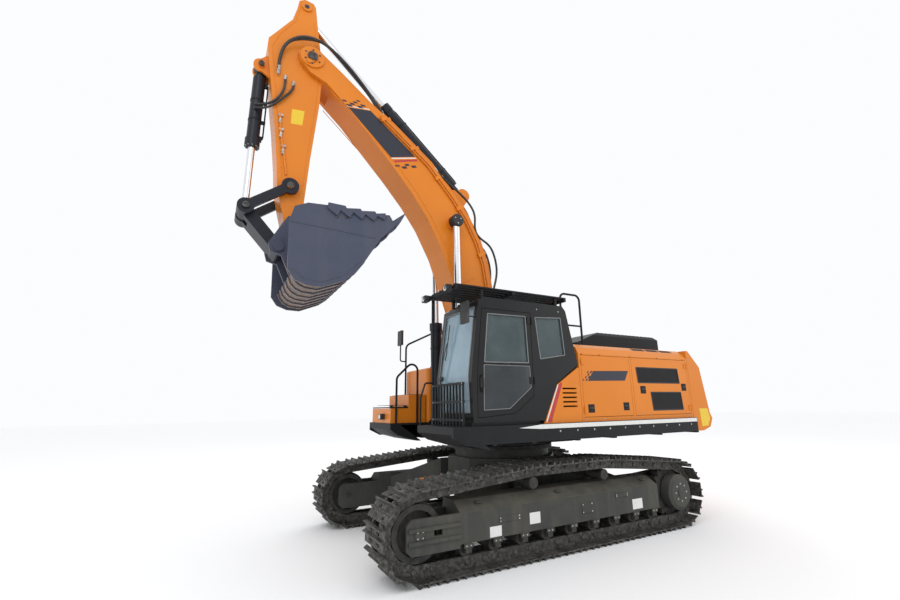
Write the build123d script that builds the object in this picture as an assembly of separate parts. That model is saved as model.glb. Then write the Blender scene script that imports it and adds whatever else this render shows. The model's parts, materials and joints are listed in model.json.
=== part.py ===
from build123d import *
import math
import os

# Crawler excavator of the 38 tonne class, in millimetres.
# Model frame: +X forward, +Y to the operator's left, +Z up, ground at z = 0.
# Everything is drawn about the swing axis, then the whole machine is moved along X
# so that the origin is the middle of its box on the ground.

# ---- crawler track -------------------------------------------------------------
WHEELBASE = 4250.0            # idler centre to sprocket centre
GAUGE = 2740.0                # track centre to track centre
SHOE_WIDTH = 600.0
LINK_PITCH = 216.0            # pin to pin
LINK_HEIGHT = 122.0
LINK_THICK = 45.0
LINK_SPREAD = 110.0           # chain centre to the middle of a link plate
SHOE_PLATE = 14.0
SHOE_GAP = 6.0
GROUSER = 34.0
GROUSER_BASE = 34.0
GROUSER_TIP = 12.0
SPROCKET_TEETH = 21           # two teeth pass for each link
SPROCKET_ROOT = 36.0          # tooth root inside the pin circle
SPROCKET_TIP = 16.0           # tooth tip outside the pin circle
CARRIER_R = 75.0
CARRIER_LIFT = 130.0          # chain on the carrier rollers above chain on the wheels
CARRIER_X = (550.0, -680.0)
CARRIER_CLEAR = 6.0           # straight links dip this far between pins on a carrier roller
ROLLER_R = 85.0
ROLLER_COUNT = 9
ROLLER_SPAN = 3080.0          # first to last bottom roller
ROLLER_LENGTH = 290.0
IDLER_WIDTH = 180.0
IDLER_GUIDE = 22.0            # guide rim above the running face
RUN_CLEAR = 0.3               # between parts that run on each other

# ---- track frame and car body --------------------------------------------------
FRAME_HALF = 216.0            # half width of the side frame
FRAME_LOW = 317.0
FRAME_EDGE = 625.0            # height of the outer upper edge
FRAME_CROWN = 735.0
FRAME_WALL = 30.0
FRAME_X = (1640.0, -1650.0)
YOKE_X = 2280.0
YOKE_LOW = 280.0
YOKE_TOP = 630.0
YOKE_THICK = 40.0
YOKE_RIB = 26.0
IDLER_AXLE_R = 48.0
HUB_COVER_R = 290.0
HUB_R = 215.0
MOTOR_R = 150.0
BODY_R = 860.0                # round middle of the car body, over its corners
BODY_LOW = 520.0
BODY_TOP = 1040.0
TOWER_R = 740.0
RING_LOW = 1150.0
RING_TOP = 1244.0
RING_R = 800.0
RING_BORE = 610.0
TOW_EYE_R = 32.0
TOW_EYE_THICK = 70.0
TOW_EYE_OUT = 68.0            # eye centre from the body's flat
TOW_EYE_Z = 680.0

# ---- upper structure -----------------------------------------------------------
PLATE = 40.0                  # main frame plates
MAIN_Y = 290.0                # inner face of the two main plates
HOOD_HALF = 1500.0            # half width of the housing
HALF_WIDTH = HOOD_HALF + 50
SKIRT_LOW = 1324.0
SKIRT_THICK = 45.0
DECK_TOP = 1540.0
DECK_THICK = 30.0
DECK_FRONT = 1700.0
TAIL_R = 3690.0
WEIGHT_DEPTH = 820.0          # tail weight behind the deck
DECK_REAR = -(TAIL_R - WEIGHT_DEPTH)
WELL_Y = 520.0                # half width of the open well round the boom
BEAMS_WIDE = (560.0, -200.0, -900.0, -1900.0, DECK_REAR + 60)   # cross beams out to the main plates
BEAM_FRONT = 1160.0           # short beam ahead of the cylinders
FOOT_X = 150.0                # boom foot pin
FOOT_Z = 2070.0
FOOT_PIN_R = 60.0
BASE_X = 950.0                # boom cylinder base pin
BASE_Z = 1480.0
BRACKET_R = 118.0             # round end of the boom cylinder brackets

# ---- engine housing ------------------------------------------------------------
HOOD_X = (-380.0, DECK_REAR + 6)
HOOD_TOP = 2665.0
HOOD_EAVE = 2500.0
HOOD_WALL = 40.0
HOOD_JAMB = 40.0              # housing left beside a door opening
HOOD_SPLIT = -1450.0          # joint line of the two left doors
SPLIT_HALF = 20.0
DOOR_LOW = 1600.0
DOOR_TOP = 2480.0
FRONT_EDGE = HOOD_X[0] - HOOD_JAMB
REAR_EDGE = HOOD_X[1] + HOOD_JAMB
PANEL_GAP = 6.0
PANEL_THICK = 35.0
LOUVRE_COUNT = 5
BONNET_X = (-1050.0, DECK_REAR - 210)
BONNET_HALF = 820.0
BONNET_TOP = 2990.0
BONNET_GAP = 6.0
BONNET_RIBS = 14
WEIGHT_TOP = 2645.0
SEAT_GAP = 0.3                # between pieces that rest on each other but move or lift off
KNUCKLE_R = 11.7              # service door hinges
LID_KNUCKLE_R = 12.7
CAB_KNUCKLE_R = 15.7
TANKS = ((-350.0, 340.0, 2620.0), (370.0, 1060.0, 2420.0))   # x from, x to, top
BOX_X = (1080.0, 1680.0)      # tool box
BOX_Y = (-HOOD_HALF + 40, -580.0)
BOX_STEP = 300.0
BOX_TOP = 1980.0
BOX_FRONT_TOP = 1765.0
BOX_WALL = 20.0
LID_THICK = 18.0
RAIL_R = 17.0
HOOD_RAIL_Y = 1150.0
RIGHT_RAIL_Y = -HOOD_HALF + 90
WELL_RAIL_Y = -550.0

# ---- cab -----------------------------------------------------------------------
CAB_Y = (HOOD_HALF - 970, HOOD_HALF - 5)
CAB_FLOOR = 1580.0
CAB_ROOF = 3170.0
CAB_WALL = 45.0
CAB_FRONT_LOW = 1390.0
CAB_FRONT_TOP = 1290.0
CAB_REAR_TOP = -200.0
CAB_REAR_MID = -365.0
GLASS = 8.0
SEAL = 0.3                    # glass edge to frame
PILLAR = 75.0                 # windscreen edge to the cab's side
DOOR_X = (450.0, 1330.0)
GUARD_TOP = 3320.0
GUARD_Y = (CAB_Y[0] - 5, CAB_Y[1] - 45)
GUARD_X = (-270.0, 1600.0)
GUARD_SLATS = 9
GRILLE_X = 1485.0
GRILLE_BARS = 11
MIRROR_HALF = 95.0
# outlines in the cab's side plane: x, z
WINDOW_REAR_SIDE = [(370, 2960), (-90, 2990), (-130, 2460), (310, 2390)]
WINDOW_RIGHT = [(1200, 2990), (-90, 2990), (-130, 2330), (1260, 2200)]
DOOR_OUTLINE = [(DOOR_X[1], 1640), (DOOR_X[1], 2150), (1240, 3020), (DOOR_X[0], 3020),
                (DOOR_X[0], 1900), (760, 1680), (1230, 1640)]
DOOR_WINDOW = [(1215, 2320), (1150, 2950), (540, 2960), (520, 2330)]
CAB_HINGE = (DOOR_X[0] - 10, CAB_Y[1] + CAB_KNUCKLE_R + SEAT_GAP)

# ---- vents in the service doors: x0, x1, z0, z1, slant ---------------------------
VENT_REAR = HOOD_X[1] + 264
VENTS_LEFT = [(VENT_REAR, HOOD_SPLIT - 150, 2090.0, 2330.0, 20.0),
              (VENT_REAR - 20, HOOD_SPLIT - 440, 1670.0, 1950.0, 20.0)]
VENTS_RIGHT = [(VENT_REAR, HOOD_SPLIT - 250, 1850.0 + 70.0 * row, 1876.0 + 70.0 * row, 0.0) for row in range(8)]

# ---- work equipment ------------------------------------------------------------
BOOM_LENGTH = 5852.0
BOOM_ANGLE = 56.5             # chord above level
BOOM_HALF = 270.0
ARM_LENGTH = 2731.0
ARM_ANGLE = -145.24           # arm from the boom's chord
ARM_HALF = 195.0
BUCKET_ANGLE = -100.92        # tooth tip from the arm's line
BUCKET_HALF = 800.0
BUCKET_PLATE = 28.0
EAR_GAP = 4.0                 # side play at a pin
EAR_THICK = 34.0
# the boom's top edge, along its chord from the foot pin and up from it
BOOM_TOP = [(-150.0, 60.0), (-60.0, 160.0), (600.0, 440.0), (1456.0, 808.0), (1787.0, 960.0), (2200.0, 1070.0),
            (2640.0, 1110.0), (3052.0, 1085.0), (3731.0, 985.0), (BOOM_LENGTH - 1320, 709.0),
            (BOOM_LENGTH - 897, 530.0), (BOOM_LENGTH - 323, 330.0), (BOOM_LENGTH, 205.0), (BOOM_LENGTH + 138, 150.0)]
# pipes along that edge: radius, y, height over it
BOOM_PIPES = [(16.0, 215.0, 42.0), (16.0, 165.0, 42.0), (13.0, BOOM_HALF + 24, -75.0), (13.0, BOOM_HALF + 24, -118.0)]
PIPE_TURNS = (1150.0, 1456.0, 1787.0, 2200.0, 2640.0, 3052.0, 3731.0, 4532.0, 4740.0)
PIPE_CLAMPS = (1260.0, 1990.0, 2850.0, 3450.0, 4050.0, 4640.0)
CYL_Y = 400.0                 # boom cylinder centre from the machine's centre
EYE_HALF = 62.0               # half width of a cylinder's eye
PIN_R = 45.0                  # cylinder and link pins
TIP_PIN_R = 60.0              # arm pin
BUCKET_PIN_R = 50.0
PIN_CLEAR = 0.05
CAP = 25.0                    # pin caps beyond the outer face
LINK_IN = ARM_HALF + 34.0     # inner face of the side links
LINK_OUT = LINK_IN + 55.0
EAR_IN = ARM_HALF + EAR_GAP   # inner face of the bucket's ears
EAR_OUT = EAR_IN + 50.0
WEAR_STRIP = 18.0
STRIP_COUNT = 7
TOOTH_COUNT = 5
TOOTH_WIDTH = 96.0
TOOTH_TIP_WIDTH = 60.0
TOOTH_REACH = 275.0
LIP_ANGLE = -39.5             # floor's direction at the lip, in the bucket's frame
LIP = (1215.0, 170.0)         # lip's edge, in the bucket's frame


# ---- shapes --------------------------------------------------------------------
def box(x, y, z):
    """A box from its two ends along each axis."""
    size = [abs(b - a) for a, b in (x, y, z)]
    middle = [(a + b) / 2 for a, b in (x, y, z)]
    return Pos(*middle) * Box(*size)


def side_prism(points, y0, y1):
    """A closed outline in X and Z, extruded across from y0 to y1."""
    plane = Plane((0, y1, 0), x_dir=(1, 0, 0), z_dir=(0, -1, 0))
    return extrude(plane * make_face(Polyline(*points, close=True)), amount=y1 - y0)


def front_prism(points, x0, x1):
    """A closed outline in Y and Z, extruded along from x0 to x1."""
    plane = Plane((x0, 0, 0), x_dir=(0, 1, 0), z_dir=(1, 0, 0))
    return extrude(plane * make_face(Polyline(*points, close=True)), amount=x1 - x0)


def plan_prism(points, z0, z1):
    """A closed outline in X and Y, extruded up from z0 to z1."""
    return extrude(Plane((0, 0, z0)) * make_face(Polyline(*points, close=True)), amount=z1 - z0)


def bar(start, end, radius):
    """A round bar between two points."""
    start = Vector(*start)
    run = Vector(*end) - start
    return extrude(Plane(origin=start, z_dir=run) * Circle(radius), amount=run.length)


def pin(x, z, radius, y0, y1):
    """A round pin along Y."""
    return bar((x, y0, z), (x, y1, z), radius)


def post(x, y, radius, z0, z1):
    """A round post along Z."""
    return bar((x, y, z0), (x, y, z1), radius)


def tube(points, radius, bend):
    """A bent round tube through the points."""
    path = FilletPolyline(*points, radius=bend)
    return sweep(Plane(path @ 0, z_dir=path % 0) * Circle(radius), path=path)


def turned(profile, x, z):
    """A wheel turned about the Y axis line through x, z. The profile is (radius, y)."""
    face = make_face(Polyline(*profile, close=True))
    return Pos(x, 0, z) * Rot(90, 0, 0) * revolve(Plane.XZ * face, Axis.Z)


def both_sides(shape):
    """The shape and its mirror image across the middle plane."""
    return shape + mirror(shape, about=Plane.XZ)


def on_side(shape, side):
    """The shape on the left for a positive side, or its mirror image on the right."""
    if side > 0:
        return shape
    return mirror(shape, about=Plane.XZ)


def inset(points, distance):
    """An open outline moved to its left by a distance, with mitred corners."""
    moved = []
    for index, (x, z) in enumerate(points):
        before = points[max(index - 1, 0)]
        after = points[min(index + 1, len(points) - 1)]
        normals = []
        for (xa, za), (xb, zb) in ((before, (x, z)), ((x, z), after)):
            length = math.hypot(xb - xa, zb - za)
            if length > 0:
                normals.append(((za - zb) / length, (xb - xa) / length))
        nx = sum(n[0] for n in normals) / len(normals)
        nz = sum(n[1] for n in normals) / len(normals)
        scale = distance / (nx * nx + nz * nz)
        moved.append((x + nx * scale, z + nz * scale))
    return moved


def shrink_loop(points, distance):
    """A closed outline moved inwards. The points run anticlockwise."""
    loop = [points[-1]] + list(points) + [points[0]]
    return inset(loop, distance)[1:-1]


def frame_point(origin, angle, along, up):
    """A point given along and up from an origin, in a frame turned in the XZ plane."""
    c = math.cos(math.radians(angle))
    s = math.sin(math.radians(angle))
    return (origin[0] + along * c - up * s, origin[1] + along * s + up * c)


def hinge_leaf(x, y, z, radius, edge, reach, height):
    """Knuckle on an outer face, with a leaf along X that is welded on from the edge."""
    face = y - radius
    leaf = post(x, y, radius, z, z + height)
    leaf += box(sorted((x, x + reach)), (face + 3, face + 10), (z, z + height))
    return leaf + box(sorted((x + edge, x + reach)), (face - 1, face + 10), (z, z + height))


# ---- pins of the work equipment, in X and Z -------------------------------------
FOOT = (FOOT_X, FOOT_Z)
BASE_PIN = (BASE_X, BASE_Z)
ARM_DIR = BOOM_ANGLE + ARM_ANGLE
BUCKET_DIR = ARM_DIR + BUCKET_ANGLE


def on_boom(along, up):
    """A point along and up from the boom's foot pin."""
    return frame_point(FOOT, BOOM_ANGLE, along, up)


TIP = on_boom(BOOM_LENGTH, 0)


def on_arm(along, up):
    """A point along and forward from the arm's pin."""
    return frame_point(TIP, ARM_DIR, along, up)


BUCKET_PIN = on_arm(ARM_LENGTH, 0)


def on_bucket(along, up):
    """A point from the bucket's pin towards the tooth tips, and towards its back."""
    return frame_point(BUCKET_PIN, BUCKET_DIR, along, up)


def on_lip(out, back):
    """A point from the lip's edge: outwards, and towards the bucket's back."""
    return on_bucket(*frame_point(LIP, LIP_ANGLE, out, back))


BOOM_ROD_PIN = on_boom(2665, 745)
ARM_CYL_PIN = on_boom(3050, 1380)
TAIL_PIN = on_arm(-937, 153)
HEAD_PIN = on_arm(295, 664)
LINK_ARM_PIN = on_arm(ARM_LENGTH - 548, 102)
LINK_ROD_PIN = on_arm(ARM_LENGTH - 132, 613)
LINK_BUCKET_PIN = on_bucket(-225, 307)

# ---- cylinders: base pin, rod pin, neck, barrel length, rod inside it, barrel radius,
# rod radius, centres along Y, rod eye radius
CYLINDERS = {
    "boom": (BASE_PIN, BOOM_ROD_PIN, 130.0, 1665.0, 75.0, 94.0, 55.0, (-CYL_Y, CYL_Y), 105.0),
    "arm": (ARM_CYL_PIN, TAIL_PIN, 230.0, 1980.0, 180.0, 100.0, 60.0, (0.0,), 105.0),
    "bucket": (HEAD_PIN, LINK_ROD_PIN, 170.0, 1300.0, 220.0, 85.0, 50.0, (0.0,), 92.0),
}
BORE_START = 15.0             # bore's blind end beyond the neck
CAP_LENGTH = 120.0            # rod end cap of a barrel
CAP_RISE = 14.0

# ---- track geometry --------------------------------------------------------------
TRACK_Y = GAUGE / 2
LINK_MID = LINK_HEIGHT / 2
LINK_TURN = 2 * math.pi / SPROCKET_TEETH                            # half a link's turn
WHEEL_R = LINK_PITCH / 2 / math.sin(LINK_TURN)                      # pins round the wheels
WHEEL_Z = GROUSER + SHOE_PLATE + LINK_MID + WHEEL_R
RUN_R = WHEEL_R * math.cos(LINK_TURN) - LINK_MID                    # running face
CARRIER_Z = WHEEL_Z + WHEEL_R - LINK_MID + CARRIER_LIFT - CARRIER_R
ROLLER_Z = GROUSER + SHOE_PLATE + LINK_HEIGHT + ROLLER_R
LINK_INSIDE = LINK_SPREAD - LINK_THICK / 2                          # chain centre to a link's face
AXLE_X = WHEELBASE / 2


def chain_pins():
    """Places of the chain's pins on the belt line round the wheels and carrier rollers."""
    carry = CARRIER_R + LINK_MID
    circles = [(AXLE_X, WHEEL_Z, WHEEL_R)]
    circles += [(x, CARRIER_Z, carry) for x in CARRIER_X]
    circles += [(-AXLE_X, WHEEL_Z, WHEEL_R)]
    lines = []
    for index, (xa, za, ra) in enumerate(circles):
        xb, zb, rb = circles[(index + 1) % len(circles)]
        gap = math.hypot(xb - xa, zb - za)
        normal = math.atan2(zb - za, xb - xa) - math.acos((ra - rb) / gap)
        c, s = math.cos(normal), math.sin(normal)
        lines.append(((xa + ra * c, za + ra * s), (xb + rb * c, zb + rb * s), normal))
    runs = []
    for index, (start, end, normal) in enumerate(lines):
        xb, zb, rb = circles[(index + 1) % len(circles)]
        turn = (lines[(index + 1) % len(lines)][2] - normal) % (2 * math.pi)
        runs.append((math.dist(start, end), "line", start, end, 0))
        runs.append((rb * turn, "arc", (xb, zb), rb, (normal, turn)))
    total = sum(run[0] for run in runs)
    count = round(total / LINK_PITCH)
    pins = []
    for step in range(count):
        rest = total * step / count
        for length, kind, a, b, arc in runs:
            if rest <= length:
                break
            rest -= length
        share = rest / length
        if kind == "line":
            pins.append((a[0] + (b[0] - a[0]) * share, a[1] + (b[1] - a[1]) * share))
        else:
            angle = arc[0] + arc[1] * share
            pins.append((a[0] + b * math.cos(angle), a[1] + b * math.sin(angle)))
    return pins


def loop_outline(pins, outward):
    """The chain's line moved outward, with the points of straight runs left out."""
    count = len(pins)
    points = []
    for index in range(count):
        before, here, after = pins[index - 1], pins[index], pins[(index + 1) % count]
        one = math.atan2(here[1] - before[1], here[0] - before[0])
        two = math.atan2(after[1] - here[1], after[0] - here[0])
        bend = math.remainder(two - one, 2 * math.pi)
        if abs(bend) > 1e-6:
            normal = one + bend / 2 - math.pi / 2
            reach = outward / math.cos(bend / 2)
            points.append((here[0] + reach * math.cos(normal), here[1] + reach * math.sin(normal)))
    return points


def shoe_outline(start, end):
    """One shoe between two pins: a plate with two grousers."""
    length = math.dist(start, end)
    angle = math.degrees(math.atan2(end[1] - start[1], end[0] - start[0]))
    low = LINK_MID
    top = low + SHOE_PLATE
    tip = top + GROUSER
    first = SHOE_GAP / 2
    last = length - SHOE_GAP / 2
    mid = length / 2
    half = GROUSER_BASE / 2
    slim = GROUSER_TIP / 2
    shape = [(first, low), (last, low), (last, tip), (last - GROUSER_TIP, tip), (last - GROUSER_BASE, top)]
    shape += [(mid + half, top), (mid + slim, tip), (mid - slim, tip), (mid - half, top), (first, top)]
    return [frame_point(start, angle, along, -up) for along, up in shape]


def track(side):
    """One closed track: shoes on two rows of link plates."""
    pins = chain_pins()
    y = side * TRACK_Y
    outer = loop_outline(pins, LINK_MID)
    inner = loop_outline(pins, -LINK_MID)
    links = []
    for row in (-LINK_SPREAD, LINK_SPREAD):
        low, high = y + row - LINK_THICK / 2, y + row + LINK_THICK / 2
        links.append(side_prism(outer, low, high) - side_prism(inner, low - 1, high + 1))
    shoes = []
    for index, here in enumerate(pins):
        outline = shoe_outline(here, pins[(index + 1) % len(pins)])
        shoes.append(side_prism(outline, y - SHOE_WIDTH / 2, y + SHOE_WIDTH / 2))
    return links[0].fuse(links[1], *shoes)


# ---- undercarriage ----------------------------------------------------------------
def sprockets():
    """Toothed driving wheels at the rear."""
    step = 2 * math.pi / SPROCKET_TEETH
    root = WHEEL_R - SPROCKET_ROOT
    tip = WHEEL_R + SPROCKET_TIP
    outline = []
    for tooth in range(SPROCKET_TEETH):
        for share, radius in ((-0.42, root), (-0.16, tip), (0.16, tip), (0.42, root)):
            angle = (tooth + share) * step
            outline.append((radius * math.cos(angle) - AXLE_X, radius * math.sin(angle) + WHEEL_Z))
    half = LINK_INSIDE - 22
    wheel = side_prism(outline, TRACK_Y - half, TRACK_Y + half)
    wheel -= pin(-AXLE_X, WHEEL_Z, HUB_R, TRACK_Y - half - 1, TRACK_Y + half + 1)
    return both_sides(wheel)


def final_drives():
    """Travel motor and gear housing in each sprocket, with its round outer cover."""
    face = TRACK_Y + FRAME_HALF
    inside = TRACK_Y - FRAME_HALF + YOKE_THICK + RUN_CLEAR
    hub = HUB_R - RUN_CLEAR
    # radius, y
    profile = [(0, face + 40), (HUB_COVER_R - 90, face + 40), (HUB_COVER_R - 40, face + 10),
               (HUB_COVER_R - 40, TRACK_Y + 90), (hub, TRACK_Y + 90), (hub, inside), (0, inside)]
    drive = turned([(r, -y) for r, y in profile], -AXLE_X, WHEEL_Z)
    motor = pin(-AXLE_X, WHEEL_Z, MOTOR_R, TRACK_Y - FRAME_HALF - 150, inside)
    return both_sides(drive + motor)


def idlers():
    """Front guide wheels on their axles."""
    half = IDLER_WIDTH / 2
    run = RUN_R - RUN_CLEAR
    guide = LINK_INSIDE - 18
    rim = LINK_SPREAD + LINK_THICK / 2 + 6
    hub = FRAME_HALF - YOKE_THICK - 6
    crest = run + IDLER_GUIDE
    profile = [(0, -hub), (90, -hub), (90, -half + 30), (run - 60, -half + 30), (run - 60, -rim), (run, -rim),
               (run, -guide), (crest, -guide + 12), (crest, guide - 12), (run, guide),
               (run, rim), (run - 60, rim), (run - 60, half - 30), (90, half - 30), (90, hub), (0, hub)]
    wheel = Pos(0, TRACK_Y, 0) * turned(profile, AXLE_X, WHEEL_Z)
    end = FRAME_HALF - 1
    axle = pin(AXLE_X, WHEEL_Z, IDLER_AXLE_R, TRACK_Y - end, TRACK_Y + end)
    return both_sides(wheel + axle)


def track_rollers():
    """Bottom rollers on their end collars, and carrier rollers on their posts."""
    half = ROLLER_LENGTH / 2
    step = ROLLER_SPAN / (ROLLER_COUNT - 1)
    collar = FRAME_HALF
    rollers = Part()
    for index in range(ROLLER_COUNT):
        x = ROLLER_SPAN / 2 - index * step
        roller = pin(x, ROLLER_Z, ROLLER_R - RUN_CLEAR, TRACK_Y - half, TRACK_Y + half)
        for sign in (-1, 1):
            side = sorted((TRACK_Y + sign * half, TRACK_Y + sign * collar))
            roller += box((x - 38, x + 38), side, (ROLLER_Z - 40, FRAME_LOW))
        rollers += roller
    end = TRACK_Y - half - 60
    for x in CARRIER_X:
        wheel = pin(x, CARRIER_Z, CARRIER_R - CARRIER_CLEAR, TRACK_Y - half, TRACK_Y + half)
        wheel += pin(x, CARRIER_Z, 32, end, TRACK_Y - half)
        wheel += box((x - 45, x + 45), (end, end + 35), (FRAME_CROWN, CARRIER_Z + 35))
        rollers += wheel
    return both_sides(rollers)


def track_frames():
    """Side frames: a box with a sloped top, a fork round the idler and a motor plate."""
    low, edge, crown = FRAME_LOW, FRAME_EDGE, FRAME_CROWN
    half, wall = FRAME_HALF, FRAME_WALL
    # across from the track centre, height
    section = [(half, low), (half, edge), (40, crown), (-half, crown), (-half, low),
               (-half + wall, low), (-half + wall, low + 70), (half - wall, low + 70), (half - wall, low)]
    frame = front_prism([(TRACK_Y + o, z) for o, z in section], FRAME_X[1], FRAME_X[0])
    # fork plates beside the idler
    fork = [(FRAME_X[0], YOKE_LOW), (YOKE_X - 60, YOKE_LOW), (YOKE_X, YOKE_LOW + 60),
            (YOKE_X, YOKE_TOP - 60), (YOKE_X - 60, YOKE_TOP), (FRAME_X[0], YOKE_TOP)]
    for near, far in ((half - YOKE_THICK, half), (-half, -half + YOKE_THICK)):
        frame += side_prism(fork, TRACK_Y + near, TRACK_Y + far)
    frame -= pin(AXLE_X, WHEEL_Z, IDLER_AXLE_R + RUN_CLEAR, TRACK_Y - half - 1, TRACK_Y + half + 1)
    face = TRACK_Y + half
    for z in (YOKE_LOW + 105, YOKE_TOP - 120):
        frame += box((FRAME_X[0], YOKE_X - 20), (face, face + YOKE_RIB), (z, z + 34))
    frame -= box((YOKE_X - 420, YOKE_X - 320), (face - YOKE_THICK - 1, face + 1), (WHEEL_Z - 32, WHEEL_Z + 32))
    # motor plate inboard of the sprocket
    web = [(FRAME_X[1], low + 30), (FRAME_X[1], crown), (-AXLE_X, WHEEL_Z + HUB_COVER_R),
           (-AXLE_X, WHEEL_Z - HUB_COVER_R)]
    near = TRACK_Y - half
    plate = side_prism(web, near, near + YOKE_THICK)
    plate += pin(-AXLE_X, WHEEL_Z, HUB_COVER_R, near, near + YOKE_THICK)
    plate -= pin(-AXLE_X, WHEEL_Z, MOTOR_R + RUN_CLEAR, near - 1, near + YOKE_THICK + 1)
    return both_sides(frame + plate)


def car_body():
    """X shaped middle: a round tower on four legs that reach the side frames."""
    body = extrude(Plane((0, 0, BODY_LOW)) * RegularPolygon(BODY_R, 8, rotation=22.5), amount=BODY_TOP - BODY_LOW)
    body += extrude(Plane((0, 0, BODY_TOP)) * Circle(TOWER_R), amount=RING_LOW - BODY_TOP)
    reach = TRACK_Y - FRAME_HALF
    root = Plane((0, 560, 0), x_dir=(1, 0, 0), z_dir=(0, -1, 0))
    foot = Plane((0, reach, 0), x_dir=(1, 0, 0), z_dir=(0, -1, 0))
    for sign in (1, -1):
        at_body = root * Pos(sign * 500, (BODY_LOW + BODY_TOP - 60) / 2) * Rectangle(620, BODY_TOP - BODY_LOW - 60)
        at_frame = foot * Pos(sign * 1150, 560) * Rectangle(560, 240)
        leg = loft([at_body.face(), at_frame.face()])
        body += leg
        body += mirror(leg, about=Plane.XZ)
    body -= extrude(Plane((0, 0, BODY_LOW - 1)) * Circle(330), amount=RING_LOW - BODY_LOW + 2)
    return body


def slewing_ring():
    """Large ball bearing ring under the upper structure."""
    top = RING_TOP - SEAT_GAP
    ring = extrude(Plane((0, 0, RING_LOW)) * Circle(RING_R), amount=(top - RING_LOW) * 0.55)
    ring += extrude(Plane((0, 0, RING_LOW)) * Circle(RING_R - 50), amount=top - RING_LOW)
    return ring - extrude(Plane((0, 0, RING_LOW - 1)) * Circle(RING_BORE), amount=top - RING_LOW + 2)


def tow_eyes():
    """Flat eyes for a shackle's pin, welded to the front and rear of the car body."""
    flat = BODY_R * math.cos(math.radians(22.5))
    x = flat + TOW_EYE_OUT
    low = TOW_EYE_Z - TOW_EYE_THICK / 2
    high = TOW_EYE_Z + TOW_EYE_THICK / 2
    eye = plan_prism([(flat, -110), (x, -60), (x, 60), (flat, 110)], low, high)
    eye += post(x, 0, 60, low, high)
    eye -= post(x, 0, TOW_EYE_R, low - 1, high + 1)
    return eye + mirror(eye, about=Plane.YZ)


# ---- upper structure ----------------------------------------------------------------
def platform():
    """Main frame: two tall plates to the boom foot, floor plate, decks and skirts."""
    floor = RING_TOP + PLATE
    half = [(900, 480), (200, 900), (-700, 900), (-1200, WELL_Y), (DECK_REAR, WELL_Y)]
    body = plan_prism([(x, -y) for x, y in half] + half[::-1], RING_TOP, floor)
    # side plate to the boom foot: x, z
    cheek = [(DECK_REAR, floor), (BASE_X - 200, floor), (BASE_X - 200, BASE_Z + BRACKET_R),
             (FOOT_X + 260, FOOT_Z - 60), (FOOT_X + 170, FOOT_Z + 110), (FOOT_X + 60, FOOT_Z + 175),
             (FOOT_X - 90, FOOT_Z + 160), (FOOT_X - 420, FOOT_Z - 230), (HOOD_X[0] + 8, DECK_TOP),
             (DECK_REAR, DECK_TOP)]
    bracket = [(BASE_X - 330, floor), (BASE_X + 40, floor), (BASE_X + 108, BASE_Z - 40),
               (BASE_X, BASE_Z + BRACKET_R), (BASE_X - 330, BASE_Z + BRACKET_R)]
    side = side_prism(cheek, MAIN_Y, MAIN_Y + PLATE)
    for y in (MAIN_Y, WELL_Y - PLATE):
        side += side_prism(bracket, y, y + PLATE)
        side += pin(BASE_X, BASE_Z, BRACKET_R, y, y + PLATE)
    side += pin(BASE_X, BASE_Z, PIN_R, MAIN_Y, WELL_Y)
    side += deck()
    body += both_sides(side)
    body += pin(*FOOT, FOOT_PIN_R, -MAIN_Y - PLATE - CAP, MAIN_Y + PLATE + CAP)
    return body


def deck():
    """Left deck beside the boom well: top plate, outer skirt and cross beams."""
    y0, y1 = WELL_Y, HALF_WIDTH
    part = box((DECK_REAR, DECK_FRONT), (y0, y1), (DECK_TOP - DECK_THICK, DECK_TOP))
    part += box((DECK_REAR, DECK_FRONT), (y1 - SKIRT_THICK, y1), (SKIRT_LOW, DECK_TOP))
    # sloped front pan: x, z
    pan = [(DECK_FRONT, DECK_TOP - 90), (DECK_FRONT, DECK_TOP), (DECK_FRONT - 120, DECK_TOP),
           (DECK_FRONT - 520, SKIRT_LOW - 60), (DECK_FRONT - 460, SKIRT_LOW - 60), (DECK_FRONT - 150, SKIRT_LOW + 26)]
    part += side_prism(pan, y0, y1)
    for x in BEAMS_WIDE:
        part += box((x - 60, x), (MAIN_Y + PLATE, y1), (SKIRT_LOW - 20, DECK_TOP))
    part += box((BEAM_FRONT - 60, BEAM_FRONT), (y0, y1), (SKIRT_LOW - 20, DECK_TOP))
    # the outer skirt rises at its front lower corner
    rise = [(DECK_FRONT + 1, SKIRT_LOW - 70), (DECK_FRONT + 1, SKIRT_LOW + 90),
            (DECK_FRONT - 140, SKIRT_LOW + 20), (DECK_FRONT - 300, SKIRT_LOW - 70)]
    return part - side_prism(rise, y1 - 200, y1 + 1)


def counterweight():
    """Cast tail weight: a slanted turned form cut to the housing's width."""
    # radius, z
    inside = TAIL_R - WEIGHT_DEPTH - 170
    profile = [(inside, SKIRT_LOW), (TAIL_R - 255, SKIRT_LOW), (TAIL_R - 74, SKIRT_LOW + 56),
               (TAIL_R, SKIRT_LOW + 196), (TAIL_R - 45, SKIRT_LOW + 276), (TAIL_R - 160, WEIGHT_TOP - 275),
               (TAIL_R - 400, WEIGHT_TOP), (inside, WEIGHT_TOP)]
    ring = revolve(Plane.XZ * make_face(Polyline(*profile, close=True)), Axis.Z, revolution_arc=70)
    ring = Rot(0, 0, 145) * ring
    return ring & box((-TAIL_R - 10, DECK_REAR), (-HOOD_HALF, HOOD_HALF), (SKIRT_LOW - 10, WEIGHT_TOP + 10))


def hood_section(shrink):
    """Half outline of the housing: y, z."""
    half = HOOD_HALF - shrink
    top = HOOD_TOP - shrink
    return [(half, DECK_TOP), (half, HOOD_EAVE), (half - 50, HOOD_EAVE + 90), (half - 160, top - 15), (half - 330, top)]


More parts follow.
